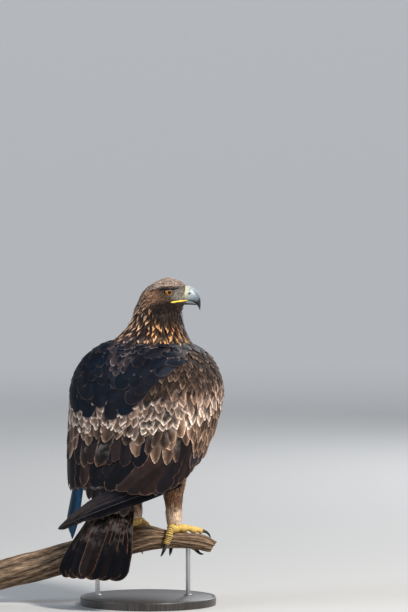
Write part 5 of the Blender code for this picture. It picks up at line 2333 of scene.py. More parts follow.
    def rim(self, surface: Guide) -> None:
        """The yellow rim of the mouth on both sides, laid on the face.

        Args:
            surface: The body's surface.
        """
        meshes = []
        for sign in (-1, 1):
            rings = []
            stations = steps(self.gape[0][0], self.gape[-1][0], 30)
            for ahead, (height, thick) in zip(stations, through(self.gape, stations)):
                start = head_point(ahead, sign * 0.07, height)
                found = surface.tree.ray_cast(start, -sign * RIGHT_OF_HEAD)[0]
                out = (found - HEAD_PIVOT).dot(RIGHT_OF_HEAD) if found else sign * 0.010
                edge = 0.0125 * clamped((0.078 - ahead) / 0.02) + 0.0012
                out = sign * max(abs(out), edge if ahead > 0.052 else 0.0)
                centre = head_point(ahead, out, height)
                ring = [centre + 0.7 * thick * math.sin(a) * RIGHT_OF_HEAD * sign
                        + thick * math.cos(a) * (1 + 0.15 * math.sin(400 * ahead)) * UP for a in ring_of(14)]
                rings.append(ring)
            meshes.append(lofted("gape", rings))
        made = joined("gape", meshes)
        made.shade_smooth()
        placed("gape_rims", made, GapeFinish().material())


@dataclass(frozen=True)
class EyeFinish:
    """A wet ball: black pupil, amber iris with spokes, dark rim.

    Attributes:
        iris: Radius of the iris.
        pupil: Radius of the pupil.
    """

    iris: float
    pupil: float

    def material(self) -> bpy.types.Material:
        """Mixes the finish.

        Returns:
            The material.
        """
        g = Graph("eye_amber", Coat_Weight=0.3, Coat_Roughness=0.03, Specular_IOR_Level=0.2)
        off, turn = g.value("off"), g.value("turn")
        spokes = g.noise(g.vector(g.product(g.math("COSINE", turn), 9.0),
                                  g.product(g.math("SINE", turn), 9.0),
                                  g.product(off, 160.0)), 1.6, 4.0)
        iris = g.mix(g.ease(off, 0.0044, 0.0078), (0.48, 0.185, 0.018), (0.13, 0.038, 0.007))
        iris = g.mix(g.ease(spokes, 0.35, 0.65, 0.0, 0.45), iris, (0.60, 0.26, 0.030))
        colour = g.mix(g.ease(off, self.iris - 0.0016, self.iris), iris, (0.014, 0.009, 0.006))
        colour = g.mix(g.ease(off, self.pupil, self.pupil + 0.0004, 1.0, 0.0), colour, (0.002, 0.002, 0.002))
        return g.finish(colour, g.ease(spokes, 0.3, 0.7, 0.10, 0.22), spokes, 0.0001, 0.2)


@dataclass(frozen=True)
class LidFinish:
    """Dark skin of the lids, pale behind the eye."""

    def material(self) -> bpy.types.Material:
        """Mixes the finish.

        Returns:
            The material.
        """
        g = Graph("lid_skin", Specular_IOR_Level=0.45)
        grain = g.noise(g.place(), 1100.0, 3.0)
        colour = g.mix(grain, (0.030, 0.026, 0.028), (0.085, 0.075, 0.072))
        colour = g.mix(g.ease(g.value("pale"), 0.2, 0.7, 0.0, 0.85), colour, (0.50, 0.46, 0.42))
        return g.finish(colour, g.ease(grain, 0.3, 0.7, 0.35, 0.55), grain, 0.0003)


@dataclass(frozen=True)
class BrowFinish:
    """Brown skin of the brow, made almost black underneath by painted shadow."""

    def material(self) -> bpy.types.Material:
        """Mixes the finish.

        Returns:
            The material.
        """
        g = Graph("brow_skin_with_painted_shadow", Specular_IOR_Level=0.35)
        grain = g.noise(g.place(), 900.0, 4.0)
        colour = g.mix(grain, (0.045, 0.030, 0.023), (0.15, 0.10, 0.078))
        # Painted shadow: the brow's underside turns almost black.
        colour = g.mix(g.ease(g.value("low"), 0.1, 0.5), colour, (0.005, 0.004, 0.004))
        return g.finish(colour, g.ease(grain, 0.3, 0.7, 0.5, 0.7), grain, 0.0004)


@dataclass
class Eyes:
    """Eyeballs with iris and pupil, the lids round them and the brows over them.

    Attributes:
        forward: Angle that the gaze is turned forward from straight out.
        pupil: Radius of the pupil on the ball.
        iris: Radius of the iris.
        opening: Half length and half height of the lids' opening.
        lid: Width of the lids.
        cornea: Rise of the cornea over the ball, and its reach.
        upper_share: Height of the opening above its middle, as a share of that below.
        corner: How much longer the opening is at its rear corner, as a share.
        lid_section: Round a lid: share of its width, height over the ball, share towards the face.
        brow_front: Front end of the brow, ahead of the pivot.
        brow_length: Length of the brow.
        brow_rise: Height of the brow over the eye's middle.
        brow_out: How far out it reaches.
        brow_thick: Half thickness and half height of the brow.
    """

    forward: float = math.radians(16)
    pupil: float = 0.0043
    iris: float = 0.0100
    opening: tuple[float, float] = (0.0100, 0.0072)
    lid: float = 0.0042
    cornea: tuple[float, float] = (0.0007, 0.0075)
    upper_share: float = 0.64
    corner: float = 0.22
    lid_section: tuple = ((0.0, 0.00025, 0), (0.0, 0.0012, 0), (0.25, 0.0017, 0), (0.6, 0.0012, 0.5),
                          (1.0, 0.0002, 1), (1.0, -0.0030, 1), (0.3, -0.0016, 0))
    brow_front: float = 0.048
    brow_length: float = 0.046
    brow_rise: float = 0.0098
    brow_out: float = 0.0345
    brow_thick: tuple[float, float] = (0.0044, 0.0022)

    def build(self, surface: Guide) -> None:
        """Makes both eyes.

        Args:
            surface: The body's surface, which the lids end on.
        """
        lids, brows = [], []
        ball_finish = EyeFinish(self.iris, self.pupil).material()
        for side, sign in (("right", 1), ("left", -1)):
            centre = head_point(EYE_AHEAD, sign * EYE_OUT, EYE_HEIGHT)
            gaze = math.cos(self.forward) * sign * RIGHT_OF_HEAD + math.sin(self.forward) * AHEAD
            gaze = gaze.normalized()
            across = (AHEAD - AHEAD.dot(gaze) * gaze).normalized()
            rings = []
            for polar in steps(0.02, math.pi - 0.02, 56):
                off = EYE_RADIUS * math.sin(polar)
                bulge = self.cornea[0] * math.exp(-((off / self.cornea[1]) ** 4)) * (polar < 1.6)
                reach = EYE_RADIUS * math.cos(polar) + bulge
                rings.append([centre + reach * gaze + off * (math.cos(a) * across + math.sin(a) * UP)
                              for a in ring_of(72)])
            ball = lofted(f"eye_{side}", rings)
            local = points_of(ball) - np.array(centre)
            ahead = local @ np.array(gaze)
            off_line = np.sqrt(np.maximum((local**2).sum(1) - ahead**2, 0))
            marked(ball, "off", off_line + np.where(ahead < 0, 0.02, 0))
            marked(ball, "turn", np.arctan2(local @ np.array(UP), local @ np.array(across)))
            placed(f"eye_{side}_fine", ball, ball_finish, [f"eye_{side}"])
            lids.append(self.lids(surface, centre, sign))
            brows.append(self.brow(surface, sign))
        made = joined("lids", lids)
        made.shade_smooth()
        placed("eyelids", made, LidFinish().material())
        made = joined("brows", brows)
        made.shade_smooth()
        placed("brow_ridges", made, BrowFinish().material())

    def lids(self, surface: Guide, centre: Vector, sign: int) -> bpy.types.Mesh:
        """A ring of skin round one eye, from its opening to the face.

        Args:
            surface: The body's surface.
            centre: Centre of the eyeball.
            sign: 1 on the head's right side.

        Returns:
            The ring's mesh.
        """
        rings, pale = [], []
        for angle in ring_of(96):
            c, s = math.cos(angle), math.sin(angle)
            long, tall = self.opening
            tall = tall * (self.upper_share if s > 0 else 1.0)
            corner = 1 + self.corner * max(0.0, -c) ** 6
            ring = []
            for share, over, onto in self.lid_section:
                ahead = (long * corner + share * self.lid) * c
                up = (tall + share * self.lid) * s
                flat = min(0.999, math.hypot(ahead, up) / (EYE_RADIUS + over))
                out = (EYE_RADIUS + over) * math.sqrt(1 - flat**2)
                on_ball = centre + sign * out * RIGHT_OF_HEAD + ahead * AHEAD + up * UP
                aside = on_ball + sign * 0.05 * RIGHT_OF_HEAD
                hit = surface.tree.ray_cast(aside, -sign * RIGHT_OF_HEAD)[0]
                on_face = hit + over * sign * RIGHT_OF_HEAD if hit else on_ball
                ring.append(on_ball.lerp(on_face, onto))
            rings.append(ring)
            pale.append(max(0.0, -c) ** 8)
        work = bmesh.new()
        rows = [[work.verts.new(p) for p in ring] for ring in rings]
        for first, second in zip(rows, rows[1:] + rows[:1]):
            for i in range(len(first)):
                j = (i + 1) % len(first)
                work.faces.new((first[i], first[j], second[j], second[i]))
        made = outward("lids", work)
        marked(made, "pale", np.repeat(np.array(pale), len(rings[0])))
        return made

    def brow(self, surface: Guide, sign: int) -> bpy.types.Mesh:
        """The bony ridge that shades one eye.

        Args:
            surface: The body's surface.
            sign: 1 on the head's right side.

        Returns:
            The ridge's mesh.
        """
        rings = []
        for t in steps(0, 1, 30):
            ahead = self.brow_front - self.brow_length * t
            height = EYE_HEIGHT + self.brow_rise - 0.0022 * t - 0.0020 * (2 * t - 1) ** 2
            swell = math.sin(math.pi * clamped(t)) ** 0.6 + 0.03
            start = head_point(ahead, sign * 0.08, height)
            hit = surface.tree.ray_cast(start, -sign * RIGHT_OF_HEAD)[0]
            out = (hit - HEAD_PIVOT).dot(RIGHT_OF_HEAD)
            least = sign * (self.brow_out * math.sin(math.pi * (0.22 + 0.56 * t)) ** 0.5)
            out = sign * max(abs(out), abs(least) * swell) - sign * 0.0012
            centre = head_point(ahead, out, height)
            thick, tall = self.brow_thick
            rings.append([centre + swell * (thick * math.cos(a) * RIGHT_OF_HEAD * sign
                                            + tall * math.sin(a) * UP) for a in ring_of(18)])
        made = lofted("brow", rings)
        local = points_of(made) - np.array(HEAD_PIVOT)
        # Marks the brow's underside, which its finish darkens as painted shadow.
        low = np.clip((EYE_HEIGHT + 0.0108 - local[:, 2]) / 0.003, 0, 1)
        marked(made, "low", low)
        return made


@dataclass(frozen=True)
class WoodFinish:
    """Grey-brown bare wood with dark grooves and pale worn ridges."""

    def material(self) -> bpy.types.Material:
        """Mixes the finish.

        Returns:
            The material.
        """
        g = Graph("weathered_wood", Specular_IOR_Level=0.3)
        along, turn = g.value("along"), g.value("turn")
        groove = g.value("groove")
        round_it = g.vector(g.product(g.math("COSINE", turn), 3.0),
                            g.product(g.math("SINE", turn), 3.0), g.product(along, 9.0))
        fibre = g.noise(round_it, 7.0, 6.0)
        broad = g.noise(g.place(), 22.0, 3.0)
        fine = g.noise(g.place(), 900.0, 3.0)
        mixed = g.total(g.product(groove, 0.5), g.product(g.less(fibre, 0.5), 2.6))
        colour = g.mix(g.ease(mixed, -0.5, 0.6), (0.045, 0.025, 0.014), (0.33, 0.222, 0.140))
        colour = g.mix(g.ease(mixed, 0.35, 1.0, 0.0, 0.7), colour, (0.56, 0.43, 0.30))
        colour = g.mix(g.ease(broad, 0.42, 0.62, 0.0, 0.45), colour, g.times(colour, 0.62))
        colour = g.times(colour, g.ease(fine, 0.2, 0.8, 0.75, 1.2))
        height = g.total(g.product(mixed, 0.6), g.product(fine, 0.25))
        return g.finish(colour, g.ease(fibre, 0.3, 0.7, 0.75, 0.92), height, 0.0016, 0.7)


@dataclass
class Perch:
    """The weathered branch, with the solids' own spine and grooves along it.

    Attributes:
        spine: Place along the head's direction, height and radius.
        offset: How far to the far side it lies.
        knot: Place, rise, length and spread of the broken twig's knob.
        rings: Cross sections.
        sides: Corners of each.
        bark: Depth of the bark's grooves.
        inset: How far the bark lies inside the solid.
        narrowing: Share by which the ends narrow, and over what length.
        slant: How far the broken end slants.
        splinters: Length of its splinters.
        torn: How far from the end the break shows.
    """

    spine: tuple = (
        (-0.338, 0.0605, 0.0335), (-0.260, 0.0810, 0.0345), (-0.200, 0.0965, 0.0345),
        (-0.115, 0.1170, 0.0360), (-0.040, 0.1400, 0.0325), (0.004, 0.1440, 0.0275),
        (0.037, 0.1415, 0.0210), (0.080, 0.1390, 0.0170), (0.114, 0.1360, 0.0180),
        (0.135, 0.1300, 0.0165), (0.150, 0.1260, 0.0120),
    )
    offset: float = 0.0165
    knot: tuple = (-0.100, 0.014, 0.022, 0.5)
    rings: int = 260
    sides: int = 120
    bark: float = 0.0013
    inset: float = 0.0008
    narrowing: tuple[float, float] = (0.10, 0.004)
    slant: float = 0.007
    splinters: float = 0.0016
    torn: float = 0.008

    def centre(self, along: float) -> tuple[Vector, float]:
        """Centre of the branch at a place along it, and its radius there."""
        height, radius = through(self.spine, along)[0]
        return along * AHEAD + self.offset * FAR_SIDE + height * UP, radius

    def groove(self, angle: float, along: float) -> float:
        """Depth of the bark's grooves from -1 to 1.

        Args:
            angle: Angle round the branch.
            along: Place along it.

        Returns:
            The depth.
        """
        twist = angle + 2.2 * along + 0.12 * math.sin(31 * along + 2 * angle)
        wave = 0.45 * math.sin(9 * twist + 1.6 * math.sin(23 * along))
        wave += 0.33 * math.sin(17 * twist + 2.0 * math.sin(37 * along + 1.0))
        wave += 0.22 * math.sin(31 * twist + 2.4 * math.sin(29 * along + 2.0))
        return wave

    def build(self) -> None:
        """Makes the branch with its two ends."""
        rings, depths = [], []
        start, end = self.spine[0][0], self.spine[-1][0]
        for along in steps(start, end, self.rings):
            centre, radius = self.centre(along)
            edge = min(along - start, end - along)
            close = 1 - self.narrowing[0] * math.exp(-edge / self.narrowing[1])
            ring = []
            for angle in ring_of(self.sides):
                ridge = 1 + 0.035 * math.sin(5 * angle + 9 * along) + 0.02 * math.sin(40 * along + angle)
                place, rise, long, spread = self.knot
                on, round_it = (along - place) / long, (angle - 1.5 * math.pi) / spread
                knob = rise * math.exp(-(on**2) - round_it**2)
                depth = self.groove(angle, along)
                reach = (radius * ridge + knob) * close + self.bark * depth - self.inset
                broken = (self.slant * (math.sin(angle) - 1) + self.splinters * math.sin(7 * angle + 1)
                          + 0.0010 * depth)
                slip = broken * math.exp(-(end - along) / self.torn)
                out = math.cos(angle) * FAR_SIDE + math.sin(angle) * UP
                ring.append(centre + slip * AHEAD + reach * out)
                depths.append(depth)
            rings.append(ring)
        made = lofted("branch", rings)
        marked(made, "groove", np.array(depths + [0.0, 0.0]))
        local = points_of(made)
        along = local @ np.array(AHEAD)
        marked(made, "along", along)
        side = (local - np.array(self.offset * FAR_SIDE)) @ np.array(FAR_SIDE)
        heights = np.interp(along, [row[0] for row in self.spine], [row[1] for row in self.spine])
        marked(made, "turn", np.arctan2(local[:, 2] - heights, side))
        made.set_sharp_from_angle(angle=math.radians(60))
        placed("branch_bark", made, WoodFinish().material(), ["perch_branch"])


@dataclass(frozen=True)
class ScaleFinish:
    """Yellow skin of small scales between larger plates."""

    def material(self) -> bpy.types.Material:
        """Mixes the finish.

        Returns:
            The material.
        """
        g = Graph("toe_scales", Subsurface_Weight=0.08, Specular_IOR_Level=0.45)
        cells = g.add("TexVoronoi", feature="DISTANCE_TO_EDGE")
        g.feed(cells.inputs["Vector"], g.place())
        cells.inputs["Scale"].default_value = 620.0
        scale = g.ease(cells.outputs["Distance"], 0.02, 0.16)
        plate, soft = g.value("plate"), g.noise(g.place(), 180.0, 3.0)
        colour = g.mix(soft, (0.62, 0.38, 0.055), (0.92, 0.68, 0.20))
        colour = g.mix(g.ease(scale, 0.0, 1.0, 0.55, 0.0), colour, (0.26, 0.13, 0.03))
        colour = g.mix(g.ease(plate, 0.3, 0.9, 0.0, 0.75), colour, (0.20, 0.10, 0.03))
        colour = g.mix(g.ease(g.value("dark"), 0.25, 0.7), colour, (0.025, 0.020, 0.018))
        height = g.less(g.product(scale, 0.6), g.product(plate, 0.8))
        return g.finish(colour, g.ease(soft, 0.3, 0.7, 0.36, 0.52), height, 0.0004, 0.6)


@dataclass(frozen=True)
class ClawFinish:
    """Black polished horn, brownish at the root."""

    def material(self) -> bpy.types.Material:
        """Mixes the finish.

        Returns:
            The material.
        """
        g = Graph("claw_horn", Coat_Weight=0.4, Coat_Roughness=0.15)
        soft = g.noise(g.place(), 300.0, 3.0)
        colour = g.mix(soft, (0.012, 0.012, 0.014), (0.032, 0.029, 0.028))
        colour = g.mix(g.ease(g.value("root"), 0.3, 1.0, 0.0, 0.6), colour, (0.10, 0.075, 0.05))
        return g.finish(colour, g.ease(soft, 0.3, 0.7, 0.18, 0.32), soft, 0.0002, 0.3)


@dataclass
class Feet:
    """Scaly toes and polished claws of both feet, on the solids' own lines.

    Attributes:
        perch: The branch that they grip.
        along: Place of each foot along the branch.
        toes: Length and half thickness of each toe.
        headings: Heading of each toe round the branch's top, in degrees.
        chords: Length of each claw.
        scute: Length of one plate on a toe's back.
        arch: Rise of a toe's middle over the branch.
        furrow: Depth of the furrow between two plates.
        pad: Rise of the pads below a toe.
        ball: Half sizes of the ball of the foot.
        ball_rise: Height of its middle over the branch.
        claw_bend: Angle that a claw's curve turns by.
        claw_tilt: How far its root points up.
        claw_thick: Half thickness of its root as a share of the toe's.
        claw_tip: Half thickness of its tip.
    """

    perch: Perch
    along: dict = field(default_factory=lambda: {"right": 0.057, "left": -0.030})
    toes: dict = field(default_factory=lambda: {
        "hallux": (0.056, 0.0088), "inner": (0.060, 0.0085), "middle": (0.078, 0.0085),
        "outer": (0.064, 0.0080)})
    headings: dict = field(default_factory=lambda: {
        "right": {"hallux": 252, "inner": 96, "middle": 52, "outer": 8},
        "left": {"hallux": 246, "inner": 50, "middle": 80, "outer": 118}})
    chords: dict = field(default_factory=lambda: {
        "hallux": 0.040, "inner": 0.035, "middle": 0.031, "outer": 0.026})
    scute: float = 0.0036
    arch: float = 0.0035
    furrow: float = 0.0007
    pad: float = 0.0009
    ball: tuple[float, float, float] = (0.0155, 0.0165, 0.0120)
    ball_rise: float = 0.0085
    claw_bend: float = math.radians(95)
    claw_tilt: float = math.radians(22)
    claw_thick: float = 0.62
    claw_tip: float = 0.00035

    def base(self, side: str) -> Vector:
        """Where a foot stands: the top of the branch under it."""
        centre, radius = self.perch.centre(self.along[side])
        return centre + radius * UP

    def line(self, side: str, toe: str, count: int) -> list[Vector]:
        """A toe's centre line, laid over the round of the branch.

        Args:
            side: The foot.
            toe: The toe.
            count: Number of points.

        Returns:
            The points.
        """
        length, thick = self.toes[toe]
        heading = math.radians(self.headings[side][toe])
        found = []
        for t in steps(0, 1, count):
            along = self.along[side] + t * length * math.cos(heading)
            centre, radius = self.perch.centre(along)
            lift = self.arch * math.sin(math.pi * min(1, 1.4 * t))
            reach = radius + thick + lift
            turn = t * length * math.sin(heading) / reach
            found.append(centre + reach * (math.cos(turn) * UP + math.sin(turn) * FAR_SIDE))
        return found

    def outwards(self, point: Vector, along: Vector) -> Vector:
        """Direction from the branch's middle to a point, square to a line.

        Args:
            point: The point.
            along: Direction of the line.

        Returns:
            The direction.
        """
        centre, _ = self.perch.centre((point - self.perch.offset * FAR_SIDE).dot(AHEAD))
        way = point - centre
        return (way - way.dot(along) * along).normalized()

    def toe(self, side: str, toe: str) -> bpy.types.Mesh:
        """One toe with plates on its back and pads below.

        Args:
            side: The foot.
            toe: The toe.

        Returns:
            The mesh.
        """
        length, thick = self.toes[toe]
        count = 84
        path = self.line(side, toe, count)
        rings, plates, darks = [], [], []
        for i, (t, point) in enumerate(zip(steps(0, 1, count), path)):
            along = (path[min(i + 1, count - 1)] - path[max(i - 1, 0)]).normalized()
            over = self.outwards(point, along)
            across = along.cross(over)
            radius = thick * (1.08 - 0.22 * t + 0.08 * math.cos(6 * math.pi * t)) * 0.97
            radius *= 1 if t < 0.93 else math.sqrt(max(0.05, 1 - ((t - 0.93) / 0.07) ** 2 * 0.8))
            phase = (t * length / self.scute) % 1
            banded = side == "right" and toe == "hallux" and 0.35 < t < 0.95
            groove = math.exp(-(((phase - 0.5) / (0.24 if banded else 0.13)) ** 2))
            ring = []
            for angle in ring_of(32):
                top = max(0.0, math.sin(angle))
                pad = self.pad * max(0.0, -math.sin(angle)) * math.cos(6 * math.pi * t)
                reach = radius - self.furrow * groove * top**0.5 + pad
                ring.append(point + reach * (math.cos(angle) * across + math.sin(angle) * over))
                plates.append(groove * top**0.5)
                band = groove * top**0.25 * (1.2 if banded else 0.0)
                darks.append(band + max(0.0, (t - 0.95) / 0.05) * 0.6)
            rings.append(ring)
        made = lofted("toe", rings)
        marked(made, "plate", np.array(plates + [0.0, 0.0]))
        marked(made, "dark", np.array(darks + [0.0, 0.0]))
        return made

    def claw(self, side: str, toe: str) -> bpy.types.Mesh:
        """The curved claw that continues a toe.

        Args:
            side: The foot.
            toe: The toe.

        Returns:
            The mesh.
        """
        path, thick = self.line(side, toe, 9), self.toes[toe][1]
        start = path[-1]
        along = (path[-1] - path[-2]).normalized()
        out = self.outwards(start, along)
        bend, tilt = self.claw_bend, self.claw_tilt
        radius = self.chords[toe] / (2 * math.sin(bend / 2))
        rings = []
        for t in steps(0, 1, 34):
            angle = bend * t - tilt
            arc, drop = math.sin(angle) + math.sin(tilt), math.cos(tilt) - math.cos(angle)
            point = start - 0.003 * along + radius * (arc * along - drop * out)
            forward = (math.cos(angle) * along - math.sin(angle) * out).normalized()
            across = forward.cross(out).normalized()
            over = across.cross(forward)
            thin = self.claw_thick * thick * (1 - t) ** 0.75 + self.claw_tip
            rings.append([point + thin * (0.92 * math.cos(a) * across
                                          + (1.0 if math.sin(a) > 0 else 0.84) * math.sin(a) * over)
                          for a in ring_of(20)])
        made = lofted("claw", rings)
        roots = [max(0.0, 1 - t / 0.18) for t in steps(0, 1, 34) for _ in range(20)]
        marked(made, "root", np.array(roots + [1, 0]))
        return made

    def build(self) -> None:
        """Makes both feet and their eight claws."""
        skin, horn = ScaleFinish().material(), ClawFinish().material()
        for side in ("right", "left"):
            work = bmesh.new()
            bmesh.ops.create_icosphere(work, subdivisions=5, radius=1)
            work.transform(Matrix.Translation(self.base(side) + self.ball_rise * UP)
                           @ Matrix.Diagonal((*self.ball, 1)))
            ball = outward("ball", work)
            for name in ("plate", "dark"):
                marked(ball, name, np.zeros(len(ball.vertices)))
            foot = joined(f"foot_{side}", [ball] + [self.toe(side, toe) for toe in self.toes])
            foot.shade_smooth()
            placed(f"toes_{side}", foot, skin, [f"foot_{side}"])
            for toe in self.toes:
                placed(f"claw_{toe}_{side}", self.claw(side, toe), horn, [f"talon_{toe}_{side}"])


@dataclass(frozen=True)
class LacquerFinish:
    """Dark satin lacquer over wood whose grain shows faintly."""

    def material(self) -> bpy.types.Material:
        """Mixes the finish.

        Returns:
            The material.
        """
        g = Graph("base_lacquer", Coat_Weight=0.35, Coat_Roughness=0.3)
        x, y, z = g.parts(g.place())
        grain = g.noise(g.vector(g.product(x, 6.0), g.product(y, 90.0), z), 3.0, 5.0)
        colour = g.mix(g.ease(grain, 0.35, 0.65), (0.018, 0.015, 0.014), (0.042, 0.034, 0.030))
        return g.finish(colour, g.ease(grain, 0.3, 0.7, 0.36, 0.48), grain, 0.0002, 0.3)


@dataclass(frozen=True)
class SteelFinish:
    """Satin steel, brushed round."""

    def material(self) -> bpy.types.Material:
        """Mixes the finish.

        Returns:
            The material.
        """
        g = Graph("rod_steel", Metallic=1.0)
        x, y, z = g.parts(g.place())
        brush = g.noise(g.vector(g.product(x, 8.0), g.product(y, 8.0), g.product(z, 900.0)), 4.0)
        colour = g.mix(brush, (0.46, 0.46, 0.47), (0.62, 0.62, 0.63))
        return g.finish(colour, g.ease(brush, 0.3, 0.7, 0.26, 0.40), brush, 0.0001, 0.25)


@dataclass
class Stand:
    """The round base and the two rods that carry the branch.

    Attributes:
        radius: Radius of the base.
        height: Its height.
        bevel: Round of its upper rim.
        rod_radius: Radius of a rod.
        rods: Places of the rods along the branch.
    """

    radius: float = 0.150
    height: float = 0.018
    bevel: float = 0.003
    rod_radius: float = 0.0050
    rods: tuple = (-0.112, 0.088)

    def build(self, perch: Perch) -> None:
        """Makes the base and the rods.

        Args:
            perch: The branch that the rods carry.
        """
        outline = [(self.radius - 0.0008, 0.0), (self.radius, 0.0008)]
        outline += [(self.radius, self.height - self.bevel)]
        outline += [(self.radius - self.bevel + self.bevel * math.cos(a), self.height - self.bevel
                     + self.bevel * math.sin(a)) for a in steps(0.2, math.pi / 2, 7)]
        outline += [(self.radius - 0.006, self.height), (self.radius - 0.007, self.height - 0.0006),
                    (self.radius - 0.0078, self.height - 0.0006), (self.radius - 0.0088, self.height)]
        rings = [[Vector((r * math.cos(a), r * math.sin(a), z)) for a in ring_of(160)] for r, z in outline]
        base = lofted("stand_base", rings)
        base.set_sharp_from_angle(angle=math.radians(40))
        placed("stand_base_lacquered", base, LacquerFinish().material(), ["stand_base"])
        steel = SteelFinish().material()
        for number, along in enumerate(self.rods, 1):
            centre, radius = perch.centre(along)
            foot = Vector((centre.x, centre.y, self.height))
            top = centre.z - radius + 0.004
            outline = [(self.rod_radius * 1.7, 0.0), (self.rod_radius * 1.7, 0.0022),
                       (self.rod_radius * 1.45, 0.0030), (self.rod_radius, 0.0032),
                       (self.rod_radius, top - foot.z)]
            rings = [[foot + Vector((r * math.cos(a), r * math.sin(a), z)) for a in ring_of(48)]
                     for r, z in outline]
            rod = lofted("rod", rings)
            rod.set_sharp_from_angle(angle=math.radians(40))
            placed(f"stand_rod_{number}_steel", rod, steel, [f"stand_rod_{number}"])


@dataclass(frozen=True)
class FloorFinish:
    """Pale matt floor whose backdrop gives off light.

    Attributes:
        glow: Light that the backdrop gives off.
    """

    glow: float

    def material(self) -> bpy.types.Material:
        """Mixes the finish.

        Returns:
            The material.
        """
        g = Graph("floor_pale", Specular_IOR_Level=0.2, Emission_Color=(0.93, 0.96, 1.0, 1.0))
        grain = g.noise(g.place(), 35.0, 4.0)
        colour = g.mix(grain, (0.45, 0.447, 0.44), (0.49, 0.487, 0.48))
        x, y, _ = g.parts(g.place())
        reach = g.math("SQRT", g.total(g.product(x, x), g.product(y, y)))
        g.feed(g.shader.inputs["Emission Strength"], g.ease(reach, 1.5, 9.0, 0.0, self.glow))
        return g.finish(colour, g.ease(grain, 0.3, 0.7, 0.7, 0.85), grain, 0.0005, 0.2)


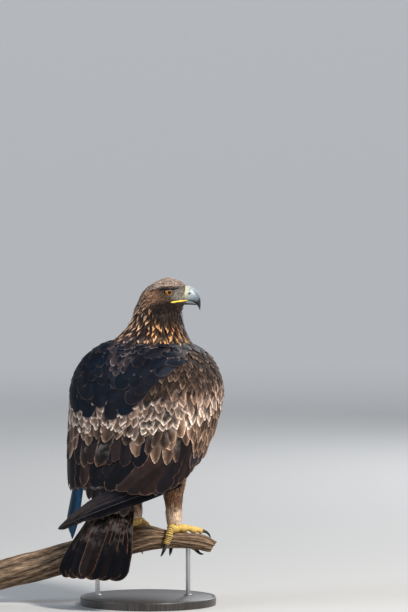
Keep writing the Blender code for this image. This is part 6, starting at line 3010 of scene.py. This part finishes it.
@dataclass
class Studio:
    """Camera, lights, floor and backdrop.

    Attributes:
        azimuth: Where the camera stands round the bird, in degrees.
        elevation: How high over the horizon it looks from, in degrees.
        target: What is at the picture's centre.
        height: Height of the picture at the target.
        distance: Distance of the camera.
        flat: Radius of the floor's level part.
        rise: Height of the backdrop.
        glow: Light that the backdrop gives off.
        sides: Corners of the floor's outline.
        sky: Colour of the light from all round.
        sky_strength: Its strength.
        lamps: Name, place, size, power and colour of each lamp.
    """

    azimuth: float = 216.0
    elevation: float = 3.0
    target: Vector = field(default_factory=lambda: Vector((-0.0997, -0.0724, 0.6587)))
    height: float = 1.3464
    distance: float = 12.0
    flat: float = 14.0
    rise: float = 4.0
    glow: float = 0.33
    sides: int = 96
    sky: tuple = (0.80, 0.88, 1.0, 1)
    sky_strength: float = 0.24
    lamps: tuple = (
        ("key", (-3.4, 0.9, 3.6), 1.0, 330.0, (1.0, 0.95, 0.88)),
        ("fill", (2.2, 4.0, 2.6), 1.6, 95.0, (0.68, 0.83, 1.0)),
        ("front", (0.5, -4.0, 2.6), 3.0, 130.0, (0.95, 0.97, 1.0)),
    )

    def camera(self) -> None:
        """Places the camera at the photo's angle and framing."""
        turn, up = math.radians(self.azimuth), math.radians(self.elevation)
        back = Vector((math.sin(turn) * math.cos(up), -math.cos(turn) * math.cos(up), math.sin(up)))
        data = bpy.data.cameras.new("camera")
        data.sensor_fit = "VERTICAL"
        data.sensor_height = 36.0
        data.lens = 36.0 * self.distance / self.height
        data.clip_end = 60.0
        camera = bpy.data.objects.new("camera", data)
        bpy.context.scene.collection.objects.link(camera)
        camera.location = self.target + self.distance * back
        camera.rotation_euler = back.to_track_quat("Z", "Y").to_euler()
        bpy.context.scene.camera = camera

    def lamp(self, name: str, place: Vector, size: float, power: float, colour: Colour) -> None:
        """A soft square lamp that looks at the bird.

        Args:
            name: Name of the lamp.
            place: Where it stands.
            size: Its side.
            power: Its power in watts.
            colour: Its colour.
        """
        data = bpy.data.lights.new(name, "AREA")
        data.size, data.energy, data.color = size, power, colour
        lamp = bpy.data.objects.new(name, data)
        bpy.context.scene.collection.objects.link(lamp)
        lamp.location = place
        lamp.rotation_euler = (place - Vector((0, 0, 0.4))).to_track_quat("Z", "Y").to_euler()

    def floor(self) -> None:
        """A pale round floor that rises softly into a backdrop on every side."""
        profile = [(0.5, 0.0), (2.0, 0.0), (6.0, 0.0), (self.flat, 0.0)]
        profile += [(self.flat + self.rise * math.sin(a), self.rise * (1 - math.cos(a)))
                    for a in steps(0.2, math.pi / 2, 8)]
        work = bmesh.new()
        middle = work.verts.new((0, 0, 0))
        rows = [[work.verts.new((reach * math.cos(a), reach * math.sin(a), height))
                 for a in ring_of(self.sides)] for reach, height in profile]
        for i in range(self.sides):
            j = (i + 1) % self.sides
            work.faces.new((middle, rows[0][i], rows[0][j]))
            for low, high in zip(rows, rows[1:]):
                work.faces.new((low[i], high[i], high[j], low[j]))
        made = bpy.data.meshes.new("floor")
        work.to_mesh(made)
        work.free()
        made.shade_smooth()
        made.materials.append(FloorFinish(self.glow).material())
        floor = bpy.data.objects.new("floor", made)
        bpy.context.scene.collection.objects.link(floor)

    def build(self) -> None:
        """Makes camera, floor and light."""
        bpy.context.scene.view_settings.view_transform = "Standard"
        self.camera()
        self.floor()
        world = bpy.data.worlds.new("studio")
        bpy.context.scene.world = world
        world.use_nodes = True
        sky = world.node_tree.nodes["Background"]
        sky.inputs["Color"].default_value = self.sky
        sky.inputs["Strength"].default_value = self.sky_strength
        for name, place, size, power, colour in self.lamps:
            self.lamp(name, Vector(place), size, power, colour)


def wing_shell() -> bpy.types.Mesh:
    """The wings' outer surface as a closed body that goes on below their lower edge.

    Returns:
        The mesh.
    """
    rings = []
    heights = steps(WING_OVALS[0][0], WING_OVALS[-1][0], 34)
    for height, (centre, width, front, back) in zip(heights, through(WING_OVALS, heights)):
        middle = Vector((0, centre, height))
        rings.append([oval(a, width, front, back, WING_SQUARENESS) + middle for a in ring_of(72)])
    return lofted("wing_shell", rings)


def main() -> None:
    """Builds the bird, its perch and its stand, and the studio round them."""
    logging.basicConfig(level=logging.INFO, format="%(message)s")
    Studio().build()
    perch = Perch()
    perch.build()
    Stand().build(perch)
    Feet(perch).build()
    body_names = Flesh.HEAD.value + Flesh.BODY.value
    body = Guide(fused(joined_solids(body_names), voxel=0.0026, smoothing=6))
    wing = Guide(fused(joined_solids(body_names, [wing_shell()]), voxel=0.0040, smoothing=8))
    LOG.info("guide surfaces: %d and %d points", len(body.points), len(wing.points))
    Skin().build()
    bill = Bill()
    bill.build()
    bill.rim(body)
    Eyes().build(body)
    features = Guide(joined_solids(("cere", "bill_upper", "bill_lower")))
    BodyCoat(body, Guide(joined_solids(Flesh.WINGS.value)), features).dress()
    WingCoat(wing).dress()
    FlightFan().dress()


if __name__ == "__main__":
    main()
